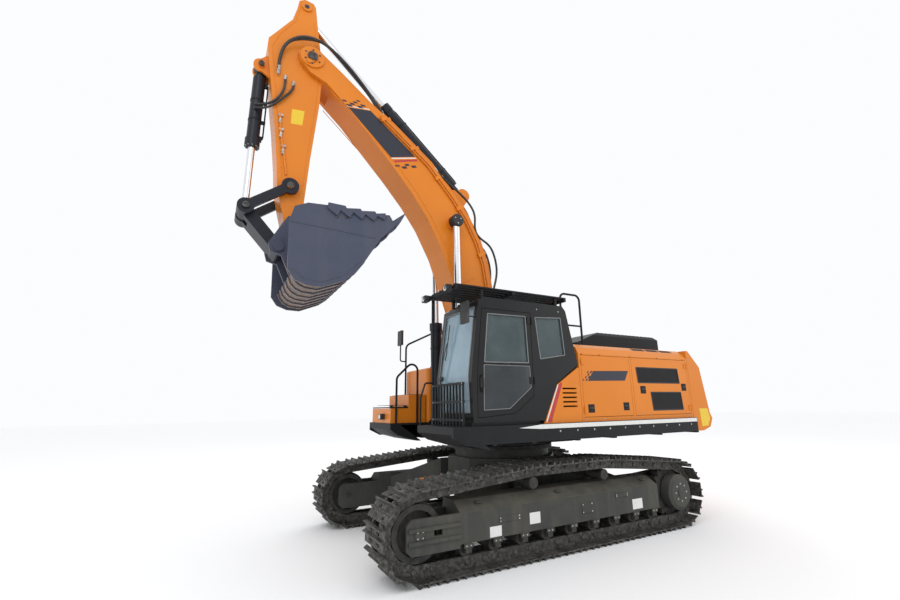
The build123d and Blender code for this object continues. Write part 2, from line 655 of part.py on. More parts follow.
def hood():
    """Fixed housing round the engine bay, with the openings for doors and bonnet."""
    outer = hood_section(0)
    inner = hood_section(HOOD_WALL)
    outer += [(-y, z) for y, z in reversed(outer)]
    inner += [(-y, z) for y, z in reversed(inner)]
    shell = front_prism(outer, HOOD_X[1], HOOD_X[0])
    shell -= front_prism(inner, HOOD_X[1] - 1, HOOD_X[0] - HOOD_WALL)
    inside = HOOD_HALF - HOOD_WALL - 1
    front, rear = HOOD_X[0] - HOOD_JAMB, HOOD_X[1] + HOOD_JAMB
    for start, end in ((front, HOOD_SPLIT + SPLIT_HALF), (HOOD_SPLIT - SPLIT_HALF, rear)):
        shell -= box((end, start), (inside, HOOD_HALF + 1), (DOOR_LOW, DOOR_TOP))
    shell -= box((rear, HOOD_SPLIT + SPLIT_HALF), (-HOOD_HALF - 1, -inside), (DOOR_LOW, DOOR_TOP))
    mouth = BONNET_HALF - 60
    return shell - box((HOOD_X[1] - 1, BONNET_X[0] - 70), (-mouth, mouth), (HOOD_TOP - 60, HOOD_TOP + 1))


def side_panel():
    """Louvred panel between the cab and the housing, on the left."""
    rear = HOOD_X[0] + PANEL_GAP
    inside = HOOD_HALF - PANEL_THICK
    panel = side_prism([(rear, DECK_TOP), (300, DECK_TOP), (60, 2040), (-355, 2290), (rear, 2290)], inside, HOOD_HALF)
    for index in range(LOUVRE_COUNT):
        z = 1745 + index * 60
        panel -= box((-300, -40), (inside - 1, HOOD_HALF + 1), (z, z + 22))
    return panel - side_prism(cab_outline(-PANEL_GAP), inside - 1, HOOD_HALF + 1)


def service_door(start, end, hinge, side, vents):
    """Flat door in the side of the housing, with hinge leaves at its front or rear edge."""
    front, rear = start - PANEL_GAP, end + PANEL_GAP
    inside = HOOD_HALF - HOOD_WALL
    door = box((rear, front), (inside, HOOD_HALF), (DOOR_LOW + PANEL_GAP, DOOR_TOP - PANEL_GAP))
    for x0, x1, z0, z1, slant in vents:
        cut = [(x0, z0), (x1, z0), (x1 + slant, z1), (x0 + slant, z1)]
        door -= side_prism(cut, inside - 1, HOOD_HALF + 1)
    x = front + PANEL_GAP / 2
    turn = -1
    if hinge == "rear":
        x = rear - PANEL_GAP / 2
        turn = 1
    y = HOOD_HALF + KNUCKLE_R + SEAT_GAP
    for z in (DOOR_LOW + 60, DOOR_TOP - 140):
        door += hinge_leaf(x, y, z, KNUCKLE_R, turn * 6, turn * 55, 80)
    return on_side(door, side)


def vent_grille(vents):
    """Slatted inserts that fill the left door's vents."""
    grille = Part()
    rim = 16
    for x0, x1, z0, z1, slant in vents:
        frame = [(x0, z0), (x1, z0), (x1 + slant, z1), (x0 + slant, z1)]
        insert = side_prism(shrink_loop(frame, SEAL), HOOD_HALF - 26, HOOD_HALF - 8)
        insert -= side_prism(shrink_loop(frame, rim), HOOD_HALF - 27, HOOD_HALF - 7)
        count = int((z1 - z0) / 45)
        for index in range(1, count):
            z = z0 + (z1 - z0) * index / count
            lean = slant * (z - z0) / (z1 - z0)
            insert += box((x0 + lean + 4, x1 + lean - 4), (HOOD_HALF - 24, HOOD_HALF - 12), (z - 7, z + 7))
        grille += insert
    return grille


def engine_bonnet():
    """Raised lid over the engine, ribbed across its top and hinged on the tail weight."""
    front, rear = BONNET_X
    low = HOOD_TOP + BONNET_GAP
    side = [(front, low), (front, low + 120), (front - 380, BONNET_TOP - 50), (front - 530, BONNET_TOP),
            (rear + 60, BONNET_TOP), (rear, BONNET_TOP - 60), (rear, low)]
    lid = side_prism(side, -BONNET_HALF, BONNET_HALF)
    lid = chamfer(lid.edges().filter_by(Axis.X).group_by(Axis.Z)[-1], 60)
    hollow = [(front - 40, low - 1), (front - 40, low + 90), (front - 540, BONNET_TOP - 40),
              (rear + 60, BONNET_TOP - 40), (rear + 40, low - 1)]
    lid -= side_prism(hollow, -BONNET_HALF + 70, BONNET_HALF - 70)
    for index in range(BONNET_RIBS):
        x = front - 600 + (rear - front + 700) * index / (BONNET_RIBS - 1)
        lid -= box((x - 18, x + 18), (-BONNET_HALF - 1, BONNET_HALF + 1), (BONNET_TOP - 14, BONNET_TOP + 1))
    hinge = rear + 10
    z = WEIGHT_TOP + SEAT_GAP + LID_KNUCKLE_R
    for y in (-BONNET_HALF + 90, BONNET_HALF - 90):
        lid += pin(hinge, z, LID_KNUCKLE_R, y - 40, y + 40)
        lid += box((hinge - 8, hinge + 8), (y - 40, y + 40), (z, low + 10))
    return lid


def tanks():
    """Hydraulic tank and fuel tank on the right deck, with filler caps."""
    row = Part()
    for x0, x1, top in TANKS:
        tank = box((x0, x1), (-HOOD_HALF, -WELL_Y - 30), (DECK_TOP, top))
        tank = fillet(tank.edges().filter_by(Axis.Z), 60)
        tank = fillet(tank.faces().sort_by(Axis.Z)[-1].edges(), 35)
        row += tank + post((x0 + x1) / 2, -1000, 85, top, top + 45)
    return row


def tool_box():
    """Stepped box ahead of the tanks, open under its lid."""
    x0, x1 = BOX_X
    step = x0 + BOX_STEP
    body = box((x0, x1), BOX_Y, (DECK_TOP, BOX_TOP))
    body -= box((step, x1 + 1), (BOX_Y[0] - 1, BOX_Y[1] + 1), (BOX_FRONT_TOP, BOX_TOP + 1))
    inside = (BOX_Y[0] + BOX_WALL, BOX_Y[1] - BOX_WALL)
    return body - box((step + BOX_WALL, x1 - BOX_WALL), inside, (DECK_TOP + BOX_WALL, BOX_FRONT_TOP + 1))


def tool_box_lid():
    """Hinged step plate on top of the tool box's front half."""
    step = BOX_X[0] + BOX_STEP
    low = BOX_FRONT_TOP + PANEL_GAP
    top = low + LID_THICK
    lid = box((step + PANEL_GAP, BOX_X[1]), BOX_Y, (low, top))
    x = step + SEAT_GAP + LID_KNUCKLE_R
    z = top + LID_KNUCKLE_R
    for y in (BOX_Y[0] + 120, BOX_Y[1] - 120):
        lid += pin(x, z, LID_KNUCKLE_R, y - 45, y + 45)
        lid += box((x - 5, x + 12), (y - 45, y + 45), (low + 5, z))
    return lid


def engine():
    """Engine, radiator and pumps as one plain mass at their real place."""
    low = DECK_TOP + SEAT_GAP
    rear = HOOD_X[1] + 364
    return box((rear, -1150), (-560, 520), (low, 2380)) + box((rear, -1500), (500, 760), (low, 2400))


def exhaust():
    """Silencer outlet and air cleaner on the housing's top."""
    x, y = HOOD_X[1] + 614, -1100
    pipe = tube([(x, y, HOOD_TOP), (x, y, HOOD_TOP + 260), (x - 170, y, HOOD_TOP + 330)], 62, 90)
    x, y = -700, 560
    return pipe + post(x, y, 60, HOOD_TOP, HOOD_TOP + 120) + post(x, y, 125, HOOD_TOP + 90, HOOD_TOP + 200)


def handrails():
    """Bent tube rails: behind the cab, along the tanks, by the well and at the cab's front corner."""
    y = HOOD_RAIL_Y
    rails = tube([(-430, y, HOOD_TOP), (-430, y, 3480), (-830, y, 3480), (-830, y, HOOD_TOP)], RAIL_R, 90)
    rails += bar((-430, y, 2980), (-830, y, 2980), RAIL_R - 3)
    y = RIGHT_RAIL_Y
    top = 3180
    rails += tube([(1100, y, BOX_TOP), (1100, y, 2900), (520, y, top), (-260, y, top), (-260, y, TANKS[0][2])], RAIL_R, 120)
    rails += bar((450, y, TANKS[1][2]), (450, y, top), RAIL_R)
    y = WELL_RAIL_Y
    rails += tube([(1600, y, DECK_TOP), (1600, y, 2250), (1240, y, 2600), (1240, y, DECK_TOP)], RAIL_R, 100)
    y = GUARD_Y[0] + 45
    front = GRILLE_X + 25
    rails += tube([(1680, y, DECK_TOP), (1680, y, 1900), (1610, y, 2100), (front, y, 2100)], 12, 30)
    return rails


# ---- cab --------------------------------------------------------------------------
def cab_outline(shrink):
    """Side outline of the cab, moved in by the shrink: x, z."""
    points = [(CAB_FRONT_LOW, CAB_FLOOR), (CAB_FRONT_LOW + 20, 2150), (CAB_FRONT_TOP, CAB_ROOF - 60),
              (CAB_FRONT_TOP - 80, CAB_ROOF), (CAB_REAR_TOP + 60, CAB_ROOF), (CAB_REAR_TOP, CAB_ROOF - 70),
              (CAB_REAR_MID, 2330), (40, 2070), (290, CAB_FLOOR)]
    return shrink_loop(points, shrink)


def cab_openings():
    """Cutters for the windows of the fixed shell."""
    y0, y1 = CAB_Y
    return [box((CAB_FRONT_TOP - 200, CAB_FRONT_LOW + 60), (y0 + PILLAR, y1 - PILLAR), (1700, 3040)),
            side_prism(WINDOW_REAR_SIDE, y1 - CAB_WALL - 1, y1 + 1),
            side_prism(WINDOW_RIGHT, y0 - 1, y0 + CAB_WALL + 1),
            box((CAB_REAR_MID - 20, CAB_REAR_TOP + 90), (y0 + 90, y1 - 90), (2450, 3020)),
            box((560, 1120), (y0 + 130, y1 - 130), (CAB_ROOF - 70, CAB_ROOF + 10))]


def cab_shell():
    """Hollow cab with its window and door openings, on its mounting plinth."""
    y0, y1 = CAB_Y
    shell = side_prism(cab_outline(0), y0, y1)
    shell -= side_prism(cab_outline(CAB_WALL), y0 + CAB_WALL, y1 - CAB_WALL)
    for cutter in cab_openings():
        shell -= cutter
    shell -= side_prism(DOOR_OUTLINE, y1 - CAB_WALL - 1, y1 + 1)
    return shell + box((300, 1380), (y0 + 60, y1 - 60), (DECK_TOP, CAB_FLOOR))


def cab_glass():
    """Fixed panes, each set in its opening."""
    y0, y1 = CAB_Y
    mid = CAB_WALL / 2
    sheet = side_prism(cab_outline(mid - GLASS / 2), y0, y1)
    sheet -= side_prism(cab_outline(mid + GLASS / 2), y0 - 1, y1 + 1)
    side = (y0 + PILLAR + SEAL, y1 - PILLAR - SEAL)
    panes = sheet & box((1000, 2000), side, (1700 + SEAL, 3040 - SEAL))
    panes += sheet & box((-600, 0), (y0 + 90 + SEAL, y1 - 90 - SEAL), (2450 + SEAL, 3020 - SEAL))
    panes += sheet & box((560 + SEAL, 1120 - SEAL), (y0 + 130 + SEAL, y1 - 130 - SEAL), (3060, 3200))
    for outline, y in ((WINDOW_REAR_SIDE, y1 - mid), (WINDOW_RIGHT, y0 + mid)):
        panes += side_prism(shrink_loop(outline, SEAL), y - GLASS / 2, y + GLASS / 2)
    return panes


def cab_door():
    """Door with its window cut, hinge leaves on its rear edge and a grab handle."""
    face = CAB_Y[1]
    door = side_prism(shrink_loop(DOOR_OUTLINE, PANEL_GAP), face - CAB_WALL, face)
    door -= side_prism(DOOR_WINDOW, face - CAB_WALL - 1, face + 1)
    for z in (2050, 2860):
        door += hinge_leaf(*CAB_HINGE, z, CAB_KNUCKLE_R, 20, 76, 90)
    x = DOOR_X[1] - 65
    return door + tube([(x, face - 1, 1950), (x, face + 35, 1950), (x, face + 35, 2150), (x, face - 1, 2150)], 8, 15)


def door_glass():
    """Pane in the cab door."""
    y = CAB_Y[1] - CAB_WALL / 2
    return side_prism(shrink_loop(DOOR_WINDOW, SEAL), y - GLASS / 2, y + GLASS / 2)


def seat():
    """Operator's seat: base, cushion, back and headrest."""
    mid = sum(CAB_Y) / 2
    floor = CAB_FLOOR + CAB_WALL
    body = box((380, 700), (mid - 180, mid + 180), (floor, floor + 260))
    body += fillet(box((320, 840), (mid - 255, mid + 255), (floor + 260, floor + 400)).edges().filter_by(Axis.Y), 40)
    back = side_prism([(300, floor + 380), (430, floor + 380), (330, floor + 980), (210, floor + 980)], mid - 245, mid + 245)
    body += fillet(back.edges().filter_by(Axis.Y), 35)
    return body + box((220, 310), (mid - 130, mid + 130), (floor + 960, floor + 1160))


def consoles():
    """Side consoles with control levers, pedals with travel levers and the monitor."""
    mid = sum(CAB_Y) / 2
    floor = CAB_FLOOR + CAB_WALL
    body = Part()
    for side in (-1, 1):
        y = mid + side * 345
        body += box((340, 880), (y - 75, y + 75), (floor, floor + 520))
        body += bar((810, y, floor + 500), (840, y, floor + 700), 14)
        body += bar((835, y, floor + 660), (845, y, floor + 800), 26)
        y = mid + side * 90
        body += box((1000, 1220), (y - 55, y + 55), (floor, floor + 60))
        body += bar((1130, y, floor + 40), (1020, y, floor + 560), 12)
    wall = CAB_Y[0] + CAB_WALL
    return body + box((1265, 1322), (wall, wall + 240), (2250, 2430))


def cab_guards():
    """Slatted guard over the roof and barred guard before the lower windscreen."""
    y0, y1 = GUARD_Y
    x0, x1 = GUARD_X
    top = GUARD_TOP
    roof = Part()
    for x in (x0, x1 - 40, (x0 + x1) / 2):
        roof += box((x, x + 40), (y0, y1), (top - 60, top - 20))
    for index in range(GUARD_SLATS):
        y = y0 + (y1 - y0 - 60) * index / (GUARD_SLATS - 1)
        roof += box((x0, x1), (y, y + 60), (top - 20, top))
    for x in (CAB_REAR_TOP + 90, CAB_FRONT_TOP - 130):
        for y in (CAB_Y[0] + 70, CAB_Y[1] - 110):
            roof += box((x, x + 40), (y, y + 40), (CAB_ROOF, top - 20))
    x = GRILLE_X
    low = y0 + 60
    front = box((x, x + 25), (y0 + 30, low), (DECK_TOP, top - 20))
    for z in (1600, 1820, 2040):
        front += box((x, x + 30), (low, y1), (z, z + 30))
    for index in range(GRILLE_BARS):
        y = low + (y1 - low - 22) * index / (GRILLE_BARS - 1)
        front += box((x + 5, x + 25), (y, y + 22), (DECK_TOP, 2070))
    return roof + front


def mirrors():
    """Rear view mirrors on bent stays."""
    y = CAB_Y[1] - 40
    left = tube([(CAB_FRONT_TOP, y, 2900), (1420, y, 2900), (1470, y, 2960)], 10, 20)
    left -= side_prism(cab_outline(0), *CAB_Y)
    left += box((1455, 1485), (y - MIRROR_HALF, y + MIRROR_HALF), (2800, 3080))
    y = RIGHT_RAIL_Y
    right = tube([(1100 + RAIL_R + SEAT_GAP, y, 2600), (1210, y, 2600), (1210, y, 2900)], 12, 40)
    return left + right + box((1195, 1235), (y - MIRROR_HALF, y + MIRROR_HALF), (2890, 3160))


def lamps():
    """Work lamps on the roof guard and the tool box."""
    group = Part()
    for x, y, z in ((GUARD_X[1], 620, 3280), (GUARD_X[1], 1300, 3280), (BOX_X[1], -900, 1640)):
        group += box((x, x + 70), (y - 60, y + 60), (z - 45, z + 45))
    return group


# ---- work equipment -----------------------------------------------------------------
def cylinder_ears(eye, roots, radius):
    """Two ears with their pin, standing on two root points."""
    inner = EYE_HALF + EAR_GAP
    outer = inner + EAR_THICK
    angle = math.atan2(roots[1][1] - roots[0][1], roots[1][0] - roots[0][0])
    off = (radius * math.cos(angle), radius * math.sin(angle))
    outline = [roots[0], roots[1], (eye[0] + off[0], eye[1] + off[1]), (eye[0] - off[0], eye[1] - off[1])]
    ear = side_prism(outline, inner, outer) + pin(*eye, radius, inner, outer) + pin(*eye, PIN_R, 0, outer + CAP)
    return both_sides(ear)


def boom_top(along):
    """Height of the boom's top edge above its chord."""
    for (a0, u0), (a1, u1) in zip(BOOM_TOP, BOOM_TOP[1:]):
        if a0 <= along <= a1:
            return u0 + (u1 - u0) * (along - a0) / (a1 - a0)


def pipe_clamp(along, rise, y0, y1):
    """Block across the pipes at one place on the boom, from its face up to the rise."""
    top = boom_top(along)
    corners = [(along - 30, top + rise[0]), (along + 30, top + rise[0]), (along + 30, top + rise[1]),
               (along - 30, top + rise[1])]
    return side_prism([on_boom(*p) for p in corners], y0, y1)


def boom_pipes():
    """Hydraulic pipes along the boom's upper left edge, with their clamps."""
    group = Part()
    for radius, y, rise in BOOM_PIPES:
        route = inset([(a, boom_top(a)) for a in PIPE_TURNS], rise)
        points = [on_boom(*p) for p in route]
        group += tube([(x, y, z) for x, z in points], radius, 150)
    for along in PIPE_CLAMPS:
        group += pipe_clamp(along, (-20, 64), 140, 240)
        group += pipe_clamp(along, (-145, -48), BOOM_HALF - 2, BOOM_HALF + 46)
    return group


def boom():
    """Bent box boom with foot boss, cylinder boss, lugs, a forked tip, the arm's pin and pipes."""
    # along the chord, up from it
    end = BOOM_LENGTH
    low = [(end + 198, 0), (end + 138, -150), (end, -195), (end - 212, -150), (end - 432, 0), (end - 893, 117),
           (3842, 301), (3350, 360), (2883, 373), (2350, 318), (1845, 202), (1000, -20), (300, -150), (60, -170),
           (-80, -150), (-170, -20)]
    body = side_prism([on_boom(a, u) for a, u in BOOM_TOP + low], -BOOM_HALF, BOOM_HALF)
    fork = [(end - 522, -400), (end - 522, 100), (end - 792, 600), (end + 548, 600), (end + 548, -400)]
    body -= side_prism([on_boom(a, u) for a, u in fork], -ARM_HALF - EAR_GAP, ARM_HALF + EAR_GAP)
    boss = MAIN_Y - EAR_GAP
    body += pin(*FOOT, 165, -boss, boss)
    boss = CYL_Y - EYE_HALF - EAR_GAP
    body += pin(*BOOM_ROD_PIN, 112, -boss, boss)
    body += cylinder_ears(ARM_CYL_PIN, [on_boom(2780, 1050), on_boom(3300, 960)], 120)
    body += both_sides(pin(*TIP, 175, ARM_HALF + EAR_GAP, BOOM_HALF + CAP))
    body += pin(*TIP, TIP_PIN_R, -BOOM_HALF - 40, BOOM_HALF + 40)
    body -= pin(*FOOT, FOOT_PIN_R + PIN_CLEAR, -MAIN_Y, MAIN_Y)
    return body + boom_pipes()


def arm():
    """Tapered box arm with its pivot boss, forked tail, cylinder lugs and link pin."""
    # along the arm, forward from it
    end = ARM_LENGTH
    rear = [(-1075, 190), (-1060, 60), (-1000, 20), (-700, -30), (-251, -110), (100, -180), (766, -177),
            (end - 1063, -127), (end - 382, -105), (end, -130)]
    front = [(end + 119, -60), (end + 130, 20), (end + 89, 95), (end, 130), (end - 131, 150), (end - 286, 196),
             (end - 584, 273), (end - 914, 310), (end - 1522, 404), (420, 545), (263, 574), (-6, 620), (-136, 620),
             (-289, 526), (-620, 330), (-860, 285), (-1010, 270)]
    body = side_prism([on_arm(a, u) for a, u in rear + front], -ARM_HALF, ARM_HALF)
    slot = [(-1300, -200), (-1300, 500), (-560, 500), (-385, 250), (-385, -200)]
    gap = EYE_HALF + EAR_GAP
    body -= side_prism([on_arm(a, u) for a, u in slot], -gap, gap)
    body += both_sides(pin(*TAIL_PIN, 75, gap + 1, ARM_HALF + CAP))
    body += cylinder_ears(HEAD_PIN, [on_arm(60, 560), on_arm(500, 480)], 105)
    body += pin(*LINK_ARM_PIN, 110, -LINK_IN + EAR_GAP, LINK_IN - EAR_GAP)
    body += pin(*LINK_ARM_PIN, PIN_R, -LINK_OUT - CAP, LINK_OUT + CAP)
    body -= pin(*TIP, TIP_PIN_R + PIN_CLEAR, -ARM_HALF - 1, ARM_HALF + 1)
    return body - pin(*BUCKET_PIN, BUCKET_PIN_R + PIN_CLEAR, -ARM_HALF - 1, ARM_HALF + 1)


def link_outline(start, end, waist):
    """Outline of a straight link between two pins."""
    (xa, za), (xb, zb) = start, end
    length = math.hypot(xb - xa, zb - za)
    ox, oz = -(zb - za) / length * waist, (xb - xa) / length * waist
    return [(xa + ox, za + oz), (xa - ox, za - oz), (xb - ox, zb - oz), (xb + ox, zb + oz)]


def side_links():
    """Pair of straight links from the arm to the bucket cylinder's rod pin, with its two halves."""
    link = side_prism(link_outline(LINK_ARM_PIN, LINK_ROD_PIN, 62), LINK_IN, LINK_OUT)
    link += pin(*LINK_ARM_PIN, 115, LINK_IN, LINK_OUT) + pin(*LINK_ROD_PIN, 105, LINK_IN, LINK_OUT)
    link += pin(*LINK_ROD_PIN, PIN_R, EYE_HALF + EAR_GAP, LINK_OUT + CAP)
    return both_sides(link - pin(*LINK_ARM_PIN, PIN_R + PIN_CLEAR, LINK_IN - 1, LINK_OUT + 1))


def bucket_link():
    """H shaped link from the rod pin to the bucket's ears."""
    outer = LINK_IN - EAR_GAP
    fork = EYE_HALF + EAR_GAP
    end = EAR_IN - 2 * EAR_GAP
    body = side_prism(link_outline(LINK_ROD_PIN, LINK_BUCKET_PIN, 78), -end, end)
    body += pin(*LINK_ROD_PIN, 105, -outer, outer) + pin(*LINK_BUCKET_PIN, 92, -end, end)
    body -= pin(*LINK_ROD_PIN, 175, -fork, fork)
    return body - pin(*LINK_ROD_PIN, PIN_R + PIN_CLEAR, -outer - 1, outer + 1)


def bucket():
    """Digging bucket: wrapped shell, side plates, ears, wear strips, cutters and teeth."""
    wrap = [(334, -55), (-136, 738), (-120, 822), (-72, 892), (0, 940), (143, 975), (439, 912), (585, 838), (730, 690),
            (1010, 350), LIP]
    half = BUCKET_HALF
    inside = half - BUCKET_PLATE / 2
    shell = side_prism([on_bucket(*p) for p in wrap + inset(wrap, -BUCKET_PLATE)[::-1]], -inside, inside)
    plate = [(337, -74), (97, -95), (-74, -43), (-157, 146), (-238, 771), (-172, 906), (-36, 984), (143, 1017),
             (439, 944), (572, 872), (718, 721), (1005, 374), (1240, 190), (1177, 36), (751, 20)]
    shell += both_sides(side_prism([on_bucket(*p) for p in plate], half - BUCKET_PLATE, half))
    # torsion box along the hinge edge, between the side plates
    shell += side_prism([on_bucket(*p) for p in ((346, -56), (250, -85), (150, 20), (230, 120))], -inside, inside)
    ear = [(-60, -125), (70, -110), (250, -20), (150, 300), (-60, 640), (-130, 700), (-200, 430), (-330, 370),
           (-345, 250), (-130, -40)]
    ears = side_prism([on_bucket(*p) for p in ear], EAR_IN, EAR_OUT)
    ears += pin(*LINK_BUCKET_PIN, 70, EAR_IN, EAR_OUT + CAP)
    shell += both_sides(ears) + pin(*BUCKET_PIN, BUCKET_PIN_R, -EAR_OUT - CAP, EAR_OUT + CAP)
    # wear strips round the heel
    strip = wrap[1:9]
    strip = [on_bucket(*p) for p in strip + inset(strip, WEAR_STRIP)[::-1]]
    for index in range(STRIP_COUNT):
        y = -half + 80 + (2 * half - 160) * index / (STRIP_COUNT - 1)
        shell += side_prism(strip, y - 40, y + 40)
    # thick lip
    lip = [on_lip(*p) for p in ((-120, -24), (60, -24), (60, 10), (20, 24), (-120, 24))]
    shell += side_prism(lip, -half, half)
    for index in range(TOOTH_COUNT):
        shell += tooth(-half + 70 + (2 * half - 140) * index / (TOOTH_COUNT - 1))
    # toothed cutters on the side plates' edges
    cutter = [(330, -20), (345, -100), (560, -62), (575, -30), (760, -30), (775, 0), (960, 0), (975, 30), (1110, 22),
              (1085, 115), (985, 62), (930, 135), (820, 45), (765, 120), (655, 22), (600, 100), (490, 0), (440, 75)]
    return shell + both_sides(side_prism([on_bucket(*p) for p in cutter], half, half + 30))


def tooth_section(out, back, y, width, height):
    """Rectangle across a tooth, given out from the lip and towards its back."""
    x, z = on_lip(out, back)
    ahead = on_lip(out + 1, back)
    plane = Plane(origin=(x, y, z), x_dir=(0, 1, 0), z_dir=(ahead[0] - x, 0, ahead[1] - z))
    return plane * Rectangle(width, height)


def tooth(y):
    """Adapter and tooth, narrower towards the tip."""
    side = [(-150, 48), (-20, 66), (110, 46), (110, -32), (-20, -52), (-150, -48)]
    body = side_prism([on_lip(*p) for p in side], y - TOOTH_WIDTH / 2, y + TOOTH_WIDTH / 2)
    root = tooth_section(110, 7, y, TOOTH_WIDTH, 78)
    tip = tooth_section(TOOTH_REACH, 0, y, TOOTH_TIP_WIDTH, 16)
    return body + loft([root, tip])


def along_cylinder(name, distance, y):
    """A point on a cylinder's axis, from its base pin."""
    base, rod_pin = CYLINDERS[name][:2]
    share = distance / math.dist(base, rod_pin)
    return (base[0] + (rod_pin[0] - base[0]) * share, y, base[1] + (rod_pin[1] - base[1]) * share)


def barrels(name):
    """Barrel with its base eye, end cap and the bore that the rod runs in."""
    base, _, neck, length, _, radius, rod_radius, places, _ = CYLINDERS[name]
    group = Part()
    for y in places:
        start, cap, end = [along_cylinder(name, d, y) for d in (neck, length - CAP_LENGTH, length)]
        body = bar(along_cylinder(name, 0, y), start, EYE_HALF) + bar(start, end, radius)
        body += bar(cap, end, radius + CAP_RISE)
        body += pin(*base, min(radius, neck - 20), y - EYE_HALF, y + EYE_HALF)
        bore = bar(along_cylinder(name, neck + BORE_START, y), along_cylinder(name, length + 1, y), rod_radius + PIN_CLEAR)
        group += body - bore - pin(*base, PIN_R + PIN_CLEAR, y - EYE_HALF - 1, y + EYE_HALF + 1)
    return group


def rods(name):
    """Chromed rod with its end eye."""
    base, rod_pin, _, length, inside, _, rod_radius, places, eye = CYLINDERS[name]
    group = Part()
    for y in places:
        end = along_cylinder(name, math.dist(base, rod_pin), y)
        group += bar(along_cylinder(name, length - inside, y), end, rod_radius)
        group += pin(*rod_pin, eye, y - EYE_HALF, y + EYE_HALF)
    return group


NODES = {
    "car_body": car_body,
    "tow_eyes": tow_eyes,
    "track_frames": track_frames,
    "track_left": lambda: track(1),
    "track_right": lambda: track(-1),
    "idlers": idlers,
    "sprockets": sprockets,
    "final_drives": final_drives,
    "track_rollers": track_rollers,
    "slewing_ring": slewing_ring,
    "platform": platform,
    "counterweight": counterweight,
    "hood": hood,
    "side_panel": side_panel,
    "door_left_front": lambda: service_door(FRONT_EDGE, HOOD_SPLIT + SPLIT_HALF, "front", 1, []),
    "door_left_rear": lambda: service_door(HOOD_SPLIT - SPLIT_HALF, REAR_EDGE, "rear", 1, VENTS_LEFT),
    "vents_left": lambda: vent_grille(VENTS_LEFT),
    "door_right": lambda: service_door(HOOD_SPLIT + SPLIT_HALF, REAR_EDGE, "rear", -1, VENTS_RIGHT),
    "engine_bonnet": engine_bonnet,
    "tanks": tanks,
    "tool_box": tool_box,
    "tool_box_lid": tool_box_lid,
    "engine": engine,
    "exhaust": exhaust,
    "handrails": handrails,
    "cab_shell": cab_shell,
    "cab_glass": cab_glass,
    "cab_door": cab_door,
    "door_glass": door_glass,
    "seat": seat,
    "consoles": consoles,
    "cab_guards": cab_guards,
    "mirrors": mirrors,
    "lamps": lamps,
    "boom": boom,
    "arm": arm,
    "side_links": side_links,
    "bucket_link": bucket_link,
    "bucket": bucket,
    "boom_barrels": lambda: barrels("boom"),
    "boom_rods": lambda: rods("boom"),
    "arm_barrel": lambda: barrels("arm"),
    "arm_rod": lambda: rods("arm"),
    "bucket_barrel": lambda: barrels("bucket"),
    "bucket_rod": lambda: rods("bucket"),
}


def main():
    os.makedirs("parts", exist_ok=True)
    shapes = {name: make() for name, make in NODES.items()}
    low = min(shape.bounding_box().min.X for shape in shapes.values())
    high = max(shape.bounding_box().max.X for shape in shapes.values())
    shift = -(low + high) / 2
    print("swing axis at x =", round(shift, 3))
    for name, shape in shapes.items():
        export_step(Pos(shift, 0, 0) * shape, f"parts/{name}.step")


main()
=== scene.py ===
"""Finishes, small details and a plain studio round the crawler excavator's CAD frame.

Lengths are millimetres about the swing axis, as the CAD source draws the machine, and at() and
Line.at() turn them into points of the frame, in metres. +X is ahead and +Y is the machine's left."""
import json
import math

import bmesh
import bpy
from mathutils import Matrix, Vector


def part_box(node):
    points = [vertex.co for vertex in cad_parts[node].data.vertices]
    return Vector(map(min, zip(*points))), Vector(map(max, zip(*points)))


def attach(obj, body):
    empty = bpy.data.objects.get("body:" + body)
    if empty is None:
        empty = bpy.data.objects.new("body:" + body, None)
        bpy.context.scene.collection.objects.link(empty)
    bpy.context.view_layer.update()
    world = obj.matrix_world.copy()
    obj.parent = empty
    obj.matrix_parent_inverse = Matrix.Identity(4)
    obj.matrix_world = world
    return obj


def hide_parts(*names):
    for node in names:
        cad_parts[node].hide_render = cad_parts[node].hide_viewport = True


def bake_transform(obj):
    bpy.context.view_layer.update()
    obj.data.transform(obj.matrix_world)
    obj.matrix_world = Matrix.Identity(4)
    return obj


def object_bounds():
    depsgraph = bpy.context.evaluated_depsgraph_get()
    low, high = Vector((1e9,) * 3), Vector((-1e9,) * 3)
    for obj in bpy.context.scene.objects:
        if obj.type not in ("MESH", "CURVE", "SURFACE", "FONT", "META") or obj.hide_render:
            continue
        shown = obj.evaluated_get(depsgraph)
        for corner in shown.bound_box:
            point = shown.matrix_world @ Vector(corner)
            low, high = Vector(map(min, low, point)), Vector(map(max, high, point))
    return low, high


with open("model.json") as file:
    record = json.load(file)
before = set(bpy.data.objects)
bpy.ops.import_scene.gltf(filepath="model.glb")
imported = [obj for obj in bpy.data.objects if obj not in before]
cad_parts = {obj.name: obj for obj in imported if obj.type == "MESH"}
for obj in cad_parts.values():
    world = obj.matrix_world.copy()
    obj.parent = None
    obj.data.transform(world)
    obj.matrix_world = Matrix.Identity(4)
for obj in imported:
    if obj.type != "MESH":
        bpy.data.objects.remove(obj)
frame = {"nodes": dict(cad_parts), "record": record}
cad_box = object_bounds()
SCENE = bpy.context.scene
NODES, RECORD = frame["nodes"], frame["record"]
JOINTS = {j["name"]: j for j in RECORD["behaviour"]["joints"]}
X0 = JOINTS["swing"]["pos_m"][0]
MM = 1000  # millimetres in a metre
X, Y, Z = Vector((1, 0, 0)), Vector((0, 1, 0)), Vector((0, 0, 1))
SIDES = ((1, "left"), (-1, "right"))

